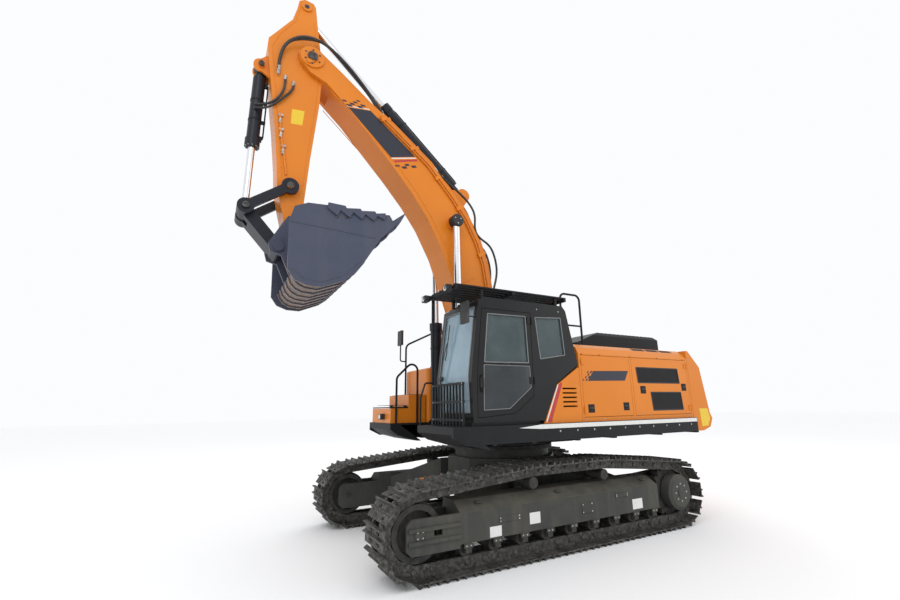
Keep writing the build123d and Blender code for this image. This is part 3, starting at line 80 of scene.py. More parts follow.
# ---- shader nodes ----
COLOR_A, COLOR_B, COLOR_OUT = 6, 7, 2  # the Mix node's sockets for colours
RUNS_DOWN = (1.0, 1.0, 0.12)  # stretches noise into streaks down a side
CHIPPED = (0.2, 0.19, 0.18)
SCRAPED = (0.24, 0.17, 0.125)
CHROME, DULL_CHROME = (0.80, 0.81, 0.83), (0.62, 0.60, 0.56)
DARK_EYE = (0.012, 0.013, 0.018)
PALE_DUST = (0.16, 0.145, 0.125)


class Shader:
    """A node material built up in short calls."""

    def __init__(self, name, rough=0.5, metallic=0.0):
        self.mat = bpy.data.materials.new(name)
        self.mat.use_nodes = True
        self.tree = self.mat.node_tree
        self.bsdf = self.tree.nodes["Principled BSDF"]
        self.set("Roughness", rough)
        self.set("Metallic", metallic)
        self.coord = self.tree.nodes.new("ShaderNodeTexCoord").outputs["Object"]
        self.height = None

    def node(self, kind, sockets=None, **values):
        made = self.tree.nodes.new(kind)
        for key, value in values.items():
            setattr(made, key, value)
        for key, value in (sockets or {}).items():
            made.inputs[key].default_value = value
        return made

    def link(self, a, b):
        self.tree.links.new(a, b)

    def stretched(self, scale):
        mapping = self.node("ShaderNodeMapping", {"Scale": scale})
        self.link(self.coord, mapping.inputs["Vector"])
        return mapping.outputs["Vector"]

    def noise(self, scale, detail=4.0, rough=0.55, stretch=None, warp=0.0):
        sockets = {"Scale": scale, "Detail": detail, "Roughness": rough, "Distortion": warp}
        made = self.node("ShaderNodeTexNoise", sockets)
        self.link(self.stretched(stretch) if stretch else self.coord, made.inputs["Vector"])
        return made.outputs["Fac"]

    def ramp(self, value, low, high, dark=0.0, light=1.0):
        sockets = {"From Min": low, "From Max": high, "To Min": dark, "To Max": light}
        made = self.node("ShaderNodeMapRange", sockets)
        self.link(value, made.inputs["Value"])
        return made.outputs["Result"]

    def maths(self, kind, a, b):
        made = self.node("ShaderNodeMath", operation=kind, use_clamp=True)
        for socket, value in zip(made.inputs, (a, b)):
            if isinstance(value, float):
                socket.default_value = value
            else:
                self.link(value, socket)
        return made.outputs["Value"]

    def times(self, a, b):
        return self.maths("MULTIPLY", a, b)

    def plus(self, a, b):
        return self.maths("ADD", a, b)

    def mix(self, factor, a, b):
        made = self.node("ShaderNodeMix", data_type="RGBA")
        self.link(factor, made.inputs["Factor"])
        for socket, value in ((made.inputs[COLOR_A], a), (made.inputs[COLOR_B], b)):
            if isinstance(value, tuple):
                socket.default_value = (*value, 1.0)
            else:
                self.link(value, socket)
        return made.outputs[COLOR_OUT]

    def part_of(self, vector, which):
        split = self.node("ShaderNodeSeparateXYZ")
        self.link(vector, split.inputs["Vector"])
        return split.outputs[which]

    def axis(self, which, low, high):
        """From 0 to 1 along an axis of the object's own frame, in metres."""
        return self.ramp(self.part_of(self.coord, which), low, high)

    def own_normal(self, which):
        """The surface's direction along an axis of the object's own frame."""
        return self.part_of(self.node("ShaderNodeTexCoord").outputs["Normal"], which)

    def facing_up(self, low=0.3, high=0.95):
        return self.ramp(self.part_of(self.node("ShaderNodeNewGeometry").outputs["Normal"], "Z"), low, high)

    def color(self, value):
        self.link(value, self.bsdf.inputs["Base Color"])

    def rough(self, value):
        self.link(value, self.bsdf.inputs["Roughness"])

    def bump(self, value, strength, distance=0.002):
        made = self.node("ShaderNodeBump", {"Strength": strength, "Distance": distance})
        self.link(value, made.inputs["Height"])
        if self.height:
            self.link(self.height, made.inputs["Normal"])
        self.height = made.outputs["Normal"]
        self.link(self.height, self.bsdf.inputs["Normal"])

    def set(self, name, value):
        self.bsdf.inputs[name].default_value = value


def paint(name, base, worn, dust, dusty, rough, coat=0.0, chips=0.0, heel=None):
    """Sprayed paint: slow colour drift, rain streaks, dust on what faces up, chips and orange peel.

    heel gives two heights in metres: the paint gets scraped off from the first down to the second."""
    s = Shader(name, rough)
    drift = s.ramp(s.noise(0.9, 3.0), 0.3, 0.7)
    color = s.mix(s.times(drift, 0.55), base, worn)
    streak = s.ramp(s.noise(5.0, 6.0, 0.65, RUNS_DOWN), 0.5, 0.78)
    cloud = s.ramp(s.noise(2.2, 8.0, 0.65, warp=0.6), 0.4, 0.72)
    grime = s.times(s.plus(streak, s.times(cloud, 0.6)), dusty)
    patchy = s.ramp(s.noise(7.0, 6.0), 0.25, 0.7, 0.35, 1.0)
    grime = s.plus(grime, s.times(s.facing_up(), s.times(patchy, dusty * 1.5)))
    color = s.mix(grime, color, dust)
    if chips:
        speck = s.times(s.ramp(s.noise(46.0, 3.0), 0.66, 0.69), s.ramp(s.noise(3.1, 4.0), 0.5, 0.62))
        color = s.mix(s.times(speck, chips), color, CHIPPED)
    if heel:
        sideways = s.node("ShaderNodeMath", operation="ABSOLUTE")
        s.link(s.own_normal("Y"), sideways.inputs[0])
        scraped = s.times(s.axis("Z", *heel), s.ramp(sideways.outputs["Value"], 0.2, 0.6, 1.0, 0.0))
        patchy = s.ramp(s.noise(7.0, 6.0, 0.6), 0.3, 0.6, 0.35, 1.0)
        color = s.mix(s.times(scraped, patchy), color, SCRAPED)
    s.color(color)
    s.rough(s.ramp(grime, 0.0, 0.6, rough, min(rough + 0.3, 0.9)))
    s.bump(s.noise(160.0, 2.0), 0.12, 0.0006)
    s.bump(s.noise(9.0, 5.0), 0.1, 0.002)
    s.set("Coat Weight", coat)
    s.set("Coat Roughness", 0.12)
    s.set("Specular IOR Level", 0.2)
    return s.mat


def steel(name, base, bright, dirt, rough, metallic=0.85, dirty=0.6, scale=14.0):
    """Bare steel: worn bright patches, brown dirt in cloudy areas, fine scratches."""
    s = Shader(name, rough, metallic)
    worn = s.ramp(s.noise(scale, 6.0, 0.6), 0.42, 0.62)
    color = s.mix(worn, base, bright)
    cloud = s.times(s.ramp(s.noise(3.5, 8.0, 0.65, warp=0.8), 0.4, 0.65), dirty)
    s.color(s.mix(cloud, color, dirt))
    s.rough(s.ramp(cloud, 0.0, 0.6, rough, 0.9))
    s.link(s.ramp(cloud, 0.0, 0.5, metallic, 0.1), s.bsdf.inputs["Metallic"])
    s.bump(s.noise(90.0, 4.0), 0.25, 0.001)
    s.bump(s.noise(12.0, 6.0), 0.3, 0.004)
    return s.mat


def rod_chrome(name, pin, eye):
    """A chromed rod that is painted dark within its eye's radius, in metres, of the pin."""
    s = Shader(name, 0.14, 1.0)
    flat = s.node("ShaderNodeVectorMath", {1: (1.0, 0.0, 1.0)}, operation="MULTIPLY")
    s.link(s.coord, flat.inputs[0])
    apart = s.node("ShaderNodeVectorMath", {1: pin}, operation="DISTANCE")
    s.link(flat.outputs["Vector"], apart.inputs[0])
    shaft = s.ramp(apart.outputs["Value"], eye, eye + 0.006)
    film = s.times(s.ramp(s.noise(6.0, 6.0), 0.45, 0.8), 0.5)
    s.color(s.mix(shaft, DARK_EYE, s.mix(film, CHROME, DULL_CHROME)))
    s.link(shaft, s.bsdf.inputs["Metallic"])
    s.rough(s.ramp(shaft, 0.0, 1.0, 0.5, 0.14))
    s.bump(s.noise(60.0, 3.0, stretch=(1.0, 1.0, 0.05)), 0.05, 0.0004)
    return s.mat


def rubber(name, base, rough=0.6, grain=220.0, strength=0.2):
    """Moulded rubber or plastic with a fine grain and a little dust."""
    s = Shader(name, rough)
    dust = s.times(s.ramp(s.noise(6.0, 6.0), 0.45, 0.75), 0.35)
    s.color(s.mix(dust, base, PALE_DUST))
    s.rough(s.ramp(dust, 0.0, 0.4, rough, 0.85))
    s.bump(s.noise(grain, 2.0), strength, 0.0006)
    return s.mat


def glass(name, tint, rough=0.04, alpha=0.45, ahead=None):
    """Tinted pane with a faint film of dust; ahead is a painted sky reflection: the pane's colour where it
    faces ahead.
    """
    s = Shader(name, rough)
    film = s.times(s.ramp(s.noise(3.0, 6.0), 0.4, 0.75), 0.35)
    color = s.mix(film, tint, tuple(min(1.0, c * 1.4 + 0.03) for c in tint))
    # painted reflection: faces turned ahead take the pale colour of a reflected sky
    if ahead:
        color = s.mix(s.ramp(s.own_normal("X"), 0.6, 0.9), color, ahead)
    s.color(color)
    s.link(s.ramp(film, 0.0, 0.35, alpha, min(1.0, alpha + 0.15)), s.bsdf.inputs["Alpha"])
    s.set("IOR", 1.5)
    s.set("Coat Weight", 0.3)
    s.set("Specular IOR Level", 0.3)
    s.set("Coat Roughness", 0.02)
    return s.mat


def cloth(name, base):
    """Woven seat cloth."""
    s = Shader(name, 0.9)
    s.color(s.mix(s.ramp(s.noise(400.0, 2.0), 0.4, 0.6), base, tuple(c * 1.9 for c in base)))
    s.bump(s.noise(420.0, 1.0), 0.5, 0.001)
    s.set("Sheen Weight", 0.4)
    return s.mat


def plain(name, base, rough=0.5, metallic=0.0, speckle=0.12):
    """Small trim: one colour with light wear."""
    s = Shader(name, rough, metallic)
    wear = s.times(s.ramp(s.noise(18.0, 6.0), 0.4, 0.7), speckle)
    s.color(s.mix(wear, base, tuple(c * 0.45 for c in base)))
    s.bump(s.noise(120.0, 2.0), 0.12, 0.0005)
    return s.mat


# ---- finishes: the record's slots, and those of the small details ----
ORANGE = (0.70, 0.205, 0.012)
PAINTS = (  # name, base, worn, dust, dusty, rough, coat, chips, and on the bucket its heel
    ("orange_paint", ORANGE, (0.60, 0.175, 0.014), (0.50, 0.27, 0.10), 0.1, 0.36, 0.2, 0.3),
    ("weight_iron", ORANGE, (0.58, 0.17, 0.014), (0.48, 0.26, 0.10), 0.14, 0.42, 0.12, 0.3),
    ("dark_paint", (0.009, 0.010, 0.011), (0.014, 0.015, 0.016), (0.06, 0.056, 0.05), 0.1, 0.5, 0.0, 0.2),
    ("grey_paint", (0.052, 0.055, 0.051), (0.036, 0.038, 0.035), (0.14, 0.128, 0.10), 0.4, 0.55, 0.0, 0.3),
    ("navy_paint", (0.010, 0.012, 0.019), (0.014, 0.017, 0.025), (0.07, 0.068, 0.066), 0.12, 0.42, 0.1, 0.3),
    ("cab_paint", (0.005, 0.0055, 0.006), (0.009, 0.009, 0.010), (0.05, 0.048, 0.045), 0.08, 0.34, 0.2, 0.0),
    ("bucket_paint", (0.060, 0.070, 0.108), (0.070, 0.078, 0.114), (0.15, 0.13, 0.115), 0.2, 0.5, 0.0, 0.5,
     (3.75, 3.4)),
)
STEELS = (  # name, base, bright, dirt, rough, metallic, dirty, scale
    ("track_steel", (0.038, 0.037, 0.034), (0.13, 0.127, 0.118), (0.046, 0.042, 0.036), 0.45, 0.7, 0.7, 22.0),
    ("wheel_steel", (0.030, 0.030, 0.029), (0.06, 0.058, 0.055), (0.055, 0.05, 0.042), 0.6, 0.5, 0.6),
    ("rod_chrome", (0.82, 0.83, 0.85), (0.9, 0.9, 0.92), (0.75, 0.74, 0.72), 0.12, 1.0, 0.12),
    ("engine_iron", (0.05, 0.05, 0.05), (0.09, 0.09, 0.09), (0.06, 0.05, 0.045), 0.6, 0.4),
    ("zinc", (0.40, 0.40, 0.38), (0.58, 0.57, 0.54), (0.2, 0.17, 0.13), 0.38, 0.85, 0.35),
    ("pin_steel", (0.05, 0.05, 0.05), (0.13, 0.125, 0.12), (0.06, 0.05, 0.042), 0.45, 0.8, 0.5),
)
RUBBERS = (  # name, base, rough, grain, strength
    ("dark_plastic", (0.012, 0.0125, 0.014), 0.5),
    ("hose_rubber", (0.013, 0.013, 0.014), 0.42, 300.0, 0.35),
    ("seal_light", (0.20, 0.205, 0.21), 0.5),
)
PANES = (  # name, tint, rough, alpha, painted sky reflection colour where it faces ahead
    ("window", (0.055, 0.08, 0.085), 0.03, 0.72, (0.33, 0.47, 0.56)),
    ("lamp_lens", (0.75, 0.78, 0.8), 0.08, 0.9),
    ("dark_glass", (0.02, 0.026, 0.03), 0.06, 0.96),
)
PLAIN = (  # name, base, rough, metallic, speckle
    ("decal_navy", (0.014, 0.016, 0.03), 0.38, 0.0, 0.3),
    ("decal_white", (0.72, 0.72, 0.70), 0.42),
    ("decal_red", (0.45, 0.03, 0.025), 0.4),
    ("sign_yellow", (0.75, 0.50, 0.02), 0.45),
    ("mirror", (0.78, 0.80, 0.82), 0.05, 1.0, 0.03),
    ("vent_mesh", (0.012, 0.012, 0.013), 0.7, 0.2),
    # slot_dark is painted shade: near-black for the insides of slots and recesses
    ("slot_dark", (0.006, 0.006, 0.007), 0.8),
    ("lamp_silver", (0.75, 0.75, 0.74), 0.15, 0.9, 0.05),
)
FINISH = {"seat_cloth": cloth("seat_cloth", (0.035, 0.035, 0.04))}
for kind, rows in ((paint, PAINTS), (steel, STEELS), (rubber, RUBBERS), (glass, PANES), (plain, PLAIN)):
    for row in rows:
        FINISH[row[0]] = kind(*row)

SLOTS = {row["material_slot"] for row in RECORD["subparts"]}
for row in RECORD["subparts"]:
    looks = NODES[row["node"]].data.materials
    looks.clear()
    looks.append(FINISH[row["material_slot"]])
NODES["lamps"].data.materials[0] = FINISH["dark_plastic"]


# ---- places ----
def at(x, y, z):
    return Vector((x / MM + X0, y / MM, z / MM))


def pivot(name):
    return Vector(JOINTS[name]["pos_m"])


def reach(node, axis):
    """How far a CAD node reaches along y or z, in millimetres."""
    return round(getattr(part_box(node)[1], axis) * MM, 1)


class Line:
    """Millimetres along and up from a pin, in the plane of the work equipment."""

    def __init__(self, origin, angle):
        self.origin = origin
        self.ahead = Vector((math.cos(angle), 0, math.sin(angle)))
        self.up = Vector((-math.sin(angle), 0, math.cos(angle)))
        self.axes = (self.ahead, Y, self.up)

    def at(self, along, up, y):
        place = self.origin + self.ahead * (along / MM) + self.up * (up / MM)
        place.y = y / MM
        return place


def heading(a, b):
    return math.atan2(b.z - a.z, b.x - a.x)


def between(corners, place):
    """The height at a place along a row of corners."""
    for (a0, u0), (a1, u1) in zip(corners, corners[1:]):
        if a0 <= place <= a1:
            return u0 + (u1 - u0) * (place - a0) / (a1 - a0)


def closed(items):
    """Each item with the next one, and the last with the first."""
    return zip(items, items[1:] + items[:1])


def circle(centre, one, two, radius, count, first=0.0):
    """Points evenly round a centre in the plane of two directions, in degrees from the first."""
    for index in range(count):
        turn = math.radians(first + 360 * index / count)
        yield centre + (one * math.cos(turn) + two * math.sin(turn)) * (radius / MM)


BUCKET_TURN = math.radians(100.92)  # from the arm's line to the bucket's
FOOT, TIP, WRIST = pivot("boom_lift"), pivot("arm_swing"), pivot("bucket_curl")
BOOM = Line(FOOT, heading(FOOT, TIP))
ARM = Line(TIP, heading(TIP, WRIST))
BUCKET = Line(WRIST, heading(TIP, WRIST) - BUCKET_TURN)
BOOM_FACE, ARM_FACE, BUCKET_FACE = 270, 195, 800  # half their widths
TRACK_Y, FRAME_HALF = 1370.0, 216  # a track's middle, half its frame's width
TRACK_FACE = TRACK_Y + FRAME_HALF
TIP_BOSS, ROD_EYE = 318, 463  # outer ends of the boss at the boom's tip, and of the boom rods' eyes
CAB_FACE, HOOD_FACE, DECK_FACE = reach("cab_shell", "y"), reach("hood", "y"), reach("platform", "y")
HOOD_TOP, GUARD_TOP = reach("hood", "z"), reach("cab_guards", "z")
BOX_TOP, TAIL_TOP = reach("tool_box", "z"), reach("counterweight", "z")

BOOM_BASE_PIN, BOOM_ROD_PIN = at(950, 0, 1480), at(999.7, 0, 4703.5)
ARM_BASE_PIN, ARM_ROD_PIN = at(682.6, 0, 5375), at(3512.3, 0, 7890)
BUCKET_BASE_PIN, BUCKET_ROD_PIN = at(4050.3, 0, 6669.6), at(4050, 0, 4365)
for node, pin, eye in (("boom_rods", BOOM_ROD_PIN, 0.108), ("arm_rod", ARM_ROD_PIN, 0.108),
                       ("bucket_rod", BUCKET_ROD_PIN, 0.095)):
    NODES[node].data.materials[0] = rod_chrome(node + "_chrome", pin, eye)


# ---- shapes ----
CREASE = math.radians(38)  # edges turned more than this stay sharp
HOSE_SIDES, BEAD_SIDES = 12, 6


def around(axis):
    """Two directions square to an axis."""
    axis = axis.normalized()
    one = axis.cross(Z if abs(axis.z) < 0.9 else X).normalized()
    return one, axis.cross(one)


class Batch:
    """Many small solids in one mesh, with one finish, riding on one body."""

    def __init__(self, name, body, finish, slot=None):
        self.name, self.body, self.finish = name, body, finish
        self.slot = slot or (finish if finish in SLOTS else None)
        self.verts, self.faces = [], []

    def add(self, verts, faces):
        first = len(self.verts)
        self.verts += [Vector(v) for v in verts]
        self.faces += [tuple(first + i for i in f) for f in faces]

    def bevelled(self, bm, width):
        if width:
            bmesh.ops.bevel(bm, geom=bm.edges[:], offset=width / MM, segments=1, affect="EDGES", profile=0.5)
        bm.verts.ensure_lookup_table()
        bm.verts.index_update()
        self.add([v.co.copy() for v in bm.verts], [[v.index for v in f.verts] for f in bm.faces])
        bm.free()

    def block(self, centre, size, axes=(X, Y, Z), bevel=3.0):
        """A block with eased edges, its size along the axes."""
        bm = bmesh.new()
        bmesh.ops.create_cube(bm, size=1.0)
        for v in bm.verts:
            v.co = centre + sum((axes[i] * (v.co[i] * size[i] / MM) for i in range(3)), Vector())
        self.bevelled(bm, bevel)

    def plate(self, corners, depth):
        """A flat outline given depth along a vector in metres."""
        bm = bmesh.new()
        front = [bm.verts.new(c) for c in corners]
        back = [bm.verts.new(c + depth) for c in corners]
        count = len(corners)
        bm.faces.new(front)
        bm.faces.new(back[::-1])
        for i in range(count):
            j = (i + 1) % count
            bm.faces.new((front[j], front[i], back[i], back[j]))
        bmesh.ops.recalc_face_normals(bm, faces=bm.faces[:])
        self.bevelled(bm, 0)

    def lathe(self, centre, axis, profile, sides=24):
        """A turned form from pairs of radius and distance along the axis.

        Its ends are closed, unless its last point is its first, which makes a ring."""
        one, two = around(axis)
        axis = axis.normalized()
        rings, verts, faces = [], [], []
        for radius, along in profile:
            here = centre + axis * (along / MM)
            if radius == 0:
                rings.append([len(verts)] * sides)
                verts.append(here)
                continue
            rings.append([len(verts) + i for i in range(sides)])
            for i in range(sides):
                angle = 2 * math.pi * i / sides
                verts.append(here + (one * math.cos(angle) + two * math.sin(angle)) * (radius / MM))
        for low, high in zip(rings, rings[1:]):
            for i in range(sides):
                j = (i + 1) % sides
                corners = list(dict.fromkeys((low[i], low[j], high[j], high[i])))
                if len(corners) > 2:
                    faces.append(corners)
        for ring, (radius, _) in ((rings[0][::-1], profile[0]), (rings[-1], profile[-1])):
            if radius and profile[0] != profile[-1]:
                faces.append(ring)
        self.add(verts, faces)

    def rod(self, a, b, radius, sides=16, ease=0.0):
        run = (b - a).length * MM
        profile = [(radius, 0), (radius, run)]
        if ease:
            profile = [(radius - ease, 0), (radius, ease), (radius, run - ease), (radius - ease, run)]
        self.lathe(a, b - a, profile, sides)

    def bolt(self, centre, axis, radius, height=None):
        """Hexagon head on a washer."""
        height = height or radius * 0.75
        washer = [(radius * 1.35, 0), (radius * 1.35, radius * 0.18), (radius * 1.15, radius * 0.2)]
        head = [(radius, radius * 0.15), (radius, height - radius * 0.15), (radius * 0.8, height)]
        self.lathe(centre, axis, washer, 12)
        self.lathe(centre, axis, head, 6)

    def tube(self, points, radius, sides=10):
        """A round tube through points in metres."""
        ahead = [(b - a).normalized() for a, b in zip(points, points[1:])]
        turns = [ahead[0]] + [(a + b).normalized() for a, b in zip(ahead, ahead[1:])] + [ahead[-1]]
        side = around(turns[0])[0]
        verts, faces = [], []
        for place, turn in zip(points, turns):
            side = (side - turn * side.dot(turn)).normalized()
            other = turn.cross(side)
            for i in range(sides):
                angle = 2 * math.pi * i / sides
                verts.append(place + (side * math.cos(angle) + other * math.sin(angle)) * (radius / MM))
        for ring in range(len(points) - 1):
            for i in range(sides):
                j = (i + 1) % sides
                a, b = ring * sides, (ring + 1) * sides
                faces.append((a + i, a + j, b + j, b + i))
        faces.append(tuple(range(sides))[::-1])
        faces.append(tuple((len(points) - 1) * sides + i for i in range(sides)))
        self.add(verts, faces)

    def bead(self, line, corners, y, radius):
        """A weld or crease along a row of corners on a face of the work equipment."""
        for a, b in zip(corners, corners[1:]):
            self.tube([line.at(*a, y), line.at(*b, y)], radius, BEAD_SIDES)

    def make(self):
        mesh = bpy.data.meshes.new(self.name)
        mesh.from_pydata(self.verts, [], self.faces)
        mesh.validate()
        bm = bmesh.new()
        bm.from_mesh(mesh)
        bmesh.ops.recalc_face_normals(bm, faces=bm.faces[:])
        bm.to_mesh(mesh)
        bm.free()
        mesh.shade_smooth()
        mesh.set_sharp_from_angle(angle=CREASE)
        mesh.materials.append(FINISH[self.finish])
        obj = placed(self.name, mesh)
        return obj

    def done(self):
        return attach(self.make(), self.body)


def placed(name, data):
    """A new object in the scene."""
    obj = bpy.data.objects.new(name, data)
    SCENE.collection.objects.link(obj)
    return obj


def finish_all(*groups):
    for group in groups:
        group.done()


def spline(points):
    """Points along the NURBS line that a route of control points gives."""
    curve = bpy.data.curves.new("route", "CURVE")
    curve.dimensions = "3D"
    line = curve.splines.new("NURBS")
    line.points.add(len(points) - 1)
    for knot, place in zip(line.points, points):
        knot.co = (*place, 1)
    line.order_u = 3
    line.use_endpoint_u = True
    line.resolution_u = 10
    holder = bpy.data.objects.new("route", curve)
    mesh = bpy.data.meshes.new_from_object(holder)
    found = [v.co.copy() for v in mesh.vertices]
    bpy.data.objects.remove(holder)
    bpy.data.curves.remove(curve)
    bpy.data.meshes.remove(mesh)
    return found


def slab(group, line, corners, y, thick=2.0):
    """A flat patch on the face at y of the work equipment, standing off by its thickness."""
    sign = 1 if y > 0 else -1
    group.plate([line.at(a, u, y - sign) for a, u in corners], Y * (sign * (thick + 1) / MM))


def wall(group, corners, y, thick=2.0):
    """The same on a side of the machine: corners are x, z."""
    sign = 1 if y > 0 else -1
    group.plate([at(x, y - sign, z) for x, z in corners], Y * (sign * (thick + 1) / MM))


def square(x0, x1, z0, z1):
    return [(x0, z0), (x1, z0), (x1, z1), (x0, z1)]


def strip(a, b, half):
    """Four corners of a stripe between two points, half its width to each side."""
    a, b = Vector(a), Vector(b)
    run = (b - a).normalized() * half
    off = Vector((-run.y, run.x))
    return [a + off, b + off, b - off, a - off]


def chequers(origin, along, up, columns, rows, start=0):
    """Corners of small lozenges in a chequered field that fades out along it."""
    origin, along, up = Vector(origin), Vector(along), Vector(up)
    for column in range(columns):
        grow = 0.94 - 0.11 * column
        for row in range(rows):
            if (row + column + start) % 2 or (row * 7 + column * 5) % 11 < column:
                continue
            base, one, two = origin + along * column + up * row, along * grow, up * grow
            yield [base, base + one, base + one + two, base + two]


# ---- tracks ----
AXLE_X, LINK_PITCH = 2125.0, 216.0
SPROCKET_TEETH = 21
CARRIER_X, CARRIER_RADIUS = (550.0, -680.0), 136.0
CHAIN_LOW, SAG = 109, 6  # the lowest pins' height, and how far the top run hangs
PAD_DEPTH = 75  # from the chain's pins out to the shoe's face
LINK_FACE = 132  # from the chain's middle to its outer side
WHEEL = LINK_PITCH / 2 / math.sin(2 * math.pi / SPROCKET_TEETH)
WHEEL_Z = CHAIN_LOW + WHEEL
CARRY_Z = WHEEL_Z + WHEEL - SAG


def belt():
    """Chain pins on the belt line round idler, carrier rollers and sprocket: x, z."""
    circles = [(AXLE_X, WHEEL_Z, WHEEL), *((x, CARRY_Z, CARRIER_RADIUS) for x in CARRIER_X),
               (-AXLE_X, WHEEL_Z, WHEEL)]
    runs, normals = [], []
    for (xa, za, ra), (xb, zb, rb) in closed(circles):
        gap = math.hypot(xb - xa, zb - za)
        normals.append(math.atan2(zb - za, xb - xa) - math.acos((ra - rb) / gap))
    for ((xa, za, ra), (xb, zb, rb)), (n, after) in zip(closed(circles), closed(normals)):
        a = Vector((xa + ra * math.cos(n), za + ra * math.sin(n)))
        b = Vector((xb + rb * math.cos(n), zb + rb * math.sin(n)))
        turn = (after - n) % (2 * math.pi)
        runs.append(((b - a).length, a, b, None))
        runs.append((rb * turn, (xb, zb, rb), n, turn))
    total = sum(run[0] for run in runs)
    count = round(total / LINK_PITCH)
    found = []
    for step in range(count):
        rest = total * step / count
        for length, a, b, turn in runs:
            if rest <= length:
                break
            rest -= length
        if turn is None:
            found.append(a.lerp(b, rest / length))
        else:
            angle = b + turn * rest / length
            found.append(Vector((a[0] + a[2] * math.cos(angle), a[1] + a[2] * math.sin(angle))))
    return found


pins = belt()
for side, name in SIDES:
    bolts = Batch("shoe_bolts_" + name, "undercarriage", "pin_steel")
    ends = Batch("chain_pins_" + name, "undercarriage", "pin_steel")
    for here, after in closed(pins):
        run = (after - here).normalized()
        out = Vector((run.y, -run.x))
        for along in (46, 150):
            for across in (-LINK_FACE, -88, 88, LINK_FACE):
                x, z = here + run * along + out * PAD_DEPTH
                bolts.bolt(at(x, side * TRACK_Y + across, z), Vector((out.x, 0, out.y)), 15, 14)
        for across in (-1, 1):
            y = side * TRACK_Y + across * LINK_FACE
            ends.rod(at(here.x, y, here.y), at(here.x, y + across * 14, here.y), 26, 12, 4)
    finish_all(bolts, ends)

ROLLERS, ROLLER_X, ROLLER_STEP, ROLLER_Z = 9, 1540, 385, 292
HATCHES = ((980, 500, 300, 60), (-250, 470, 190, 120), (-900, 560, 240, 50))  # x, z, width, height
DRIVE_CAP = [(70, 0), (70, 8), (62, 12), (24, 12), (20, 16), (0, 16)]
IDLER_CAP = [(62, 0), (62, 10), (54, 15), (0, 15)]
STICKERS = ((1100, 1260, 330, 440), (530, 690, 395, 520), (-1300, -1100, 350, 480))
bolts = Batch("track_frame_bolts", "undercarriage", "zinc")
covers = Batch("track_frame_covers", "undercarriage", "grey_paint")
stickers = Batch("blank_stickers", "undercarriage", "decal_white")
for side, _ in SIDES:
    for index in range(ROLLERS):
        x = ROLLER_X - index * ROLLER_STEP
        for dx in (-28, 28):
            bolts.bolt(at(x + dx, side * TRACK_FACE, ROLLER_Z), Y * side, 11)
        covers.block(at(x, side * (TRACK_FACE + 4), ROLLER_Z), (120, 8, 46), bevel=2)
    for x, z, w, h in HATCHES:
        covers.block(at(x, side * (TRACK_FACE + 4), z), (w, 8, h), bevel=2.5)
        for dx in (-1, 1):
            for dz in (-1, 1):
                place = at(x + dx * (w / 2 - 16), side * (TRACK_FACE + 8), z + dz * (h / 2 - 14))
                bolts.bolt(place, Y * side, 7)
    for x, stand, radius, count, first, size in (
            (-AXLE_X, 9, 225, 12, 15, 12), (-AXLE_X, 39, 120, 8, 0, 9), (AXLE_X, 11, 42, 4, 45, 7)):
        for place in circle(at(x, side * (TRACK_FACE + stand), WHEEL_Z), X, Z, radius, count, first):
            bolts.bolt(place, Y * side, size)
    covers.lathe(at(-AXLE_X, side * (TRACK_FACE + 38), WHEEL_Z), Y * side, DRIVE_CAP)
    covers.lathe(at(AXLE_X, side * (TRACK_FACE - 3), WHEEL_Z), Y * side, IDLER_CAP)
    for x in (1350, 150, -1450):
        covers.block(at(x, side * (TRACK_Y + 90), 700), (90, 120, 16), bevel=3)
    for edges in STICKERS:
        wall(stickers, square(*edges), side * (TRACK_FACE + 0.5), 1.2)
finish_all(bolts, covers, stickers)

guard = Batch("centre_swivel_guard", "undercarriage", "orange_paint")
for side in (-1, 1):
    guard.rod(at(900, side * 150, 760), at(1180, side * 560, 690), 17, 16, 5)
guard.done()
bolts = Batch("ring_bolts", "undercarriage", "pin_steel")
for place in circle(at(0, 0, 1201), X, Y, 772, 40):
    bolts.bolt(place, Z, 13, 12)
bolts.done()

# ---- boom ----
BAND = [(4979, 119), (4835, 444), (3917, 759), (4037, 342)]
TOP_FIELD = ((5000, 120), (46, -14), (-34, 78), 4, 4)
LOW_FIELD = ((3820, 352), (46, -10), (-20, 84), 2, 5, 1)
SEAM = [(420, -60), (1000, 60), (1845, 285), (2350, 400), (2883, 455), (3350, 443), (3842, 385), (4500, 200),
        (5300, -10)]
CROSS_SEAM = [(1750, 320), (1710, 620)]
TIP_CAP = [(74, -10), (74, 5), (66, 10), (20, 10), (16, 4), (0, 4)]
ROD_DISC = [(92, 0), (92, 6), (84, 12), (30, 12), (26, 8), (0, 8)]
for side, name in SIDES:
    face = side * BOOM_FACE
    navy = Batch("boom_band_" + name, "boom_body", "decal_navy")
    slab(navy, BOOM, BAND, face)
    for field in (TOP_FIELD, LOW_FIELD):
        for corners in chequers(*field):
            slab(navy, BOOM, corners, face)
    white = Batch("boom_stripe_" + name, "boom_body", "decal_white")
    slab(white, BOOM, strip((4020, 340), (3888, 762), 9), face)
    slab(white, BOOM, strip((5008, 110), (4860, 440), 7), face)
    red = Batch("boom_accent_" + name, "boom_body", "decal_red")
    slab(red, BOOM, strip((3960, 360), (3850, 760), 17), face)
    finish_all(navy, white, red)

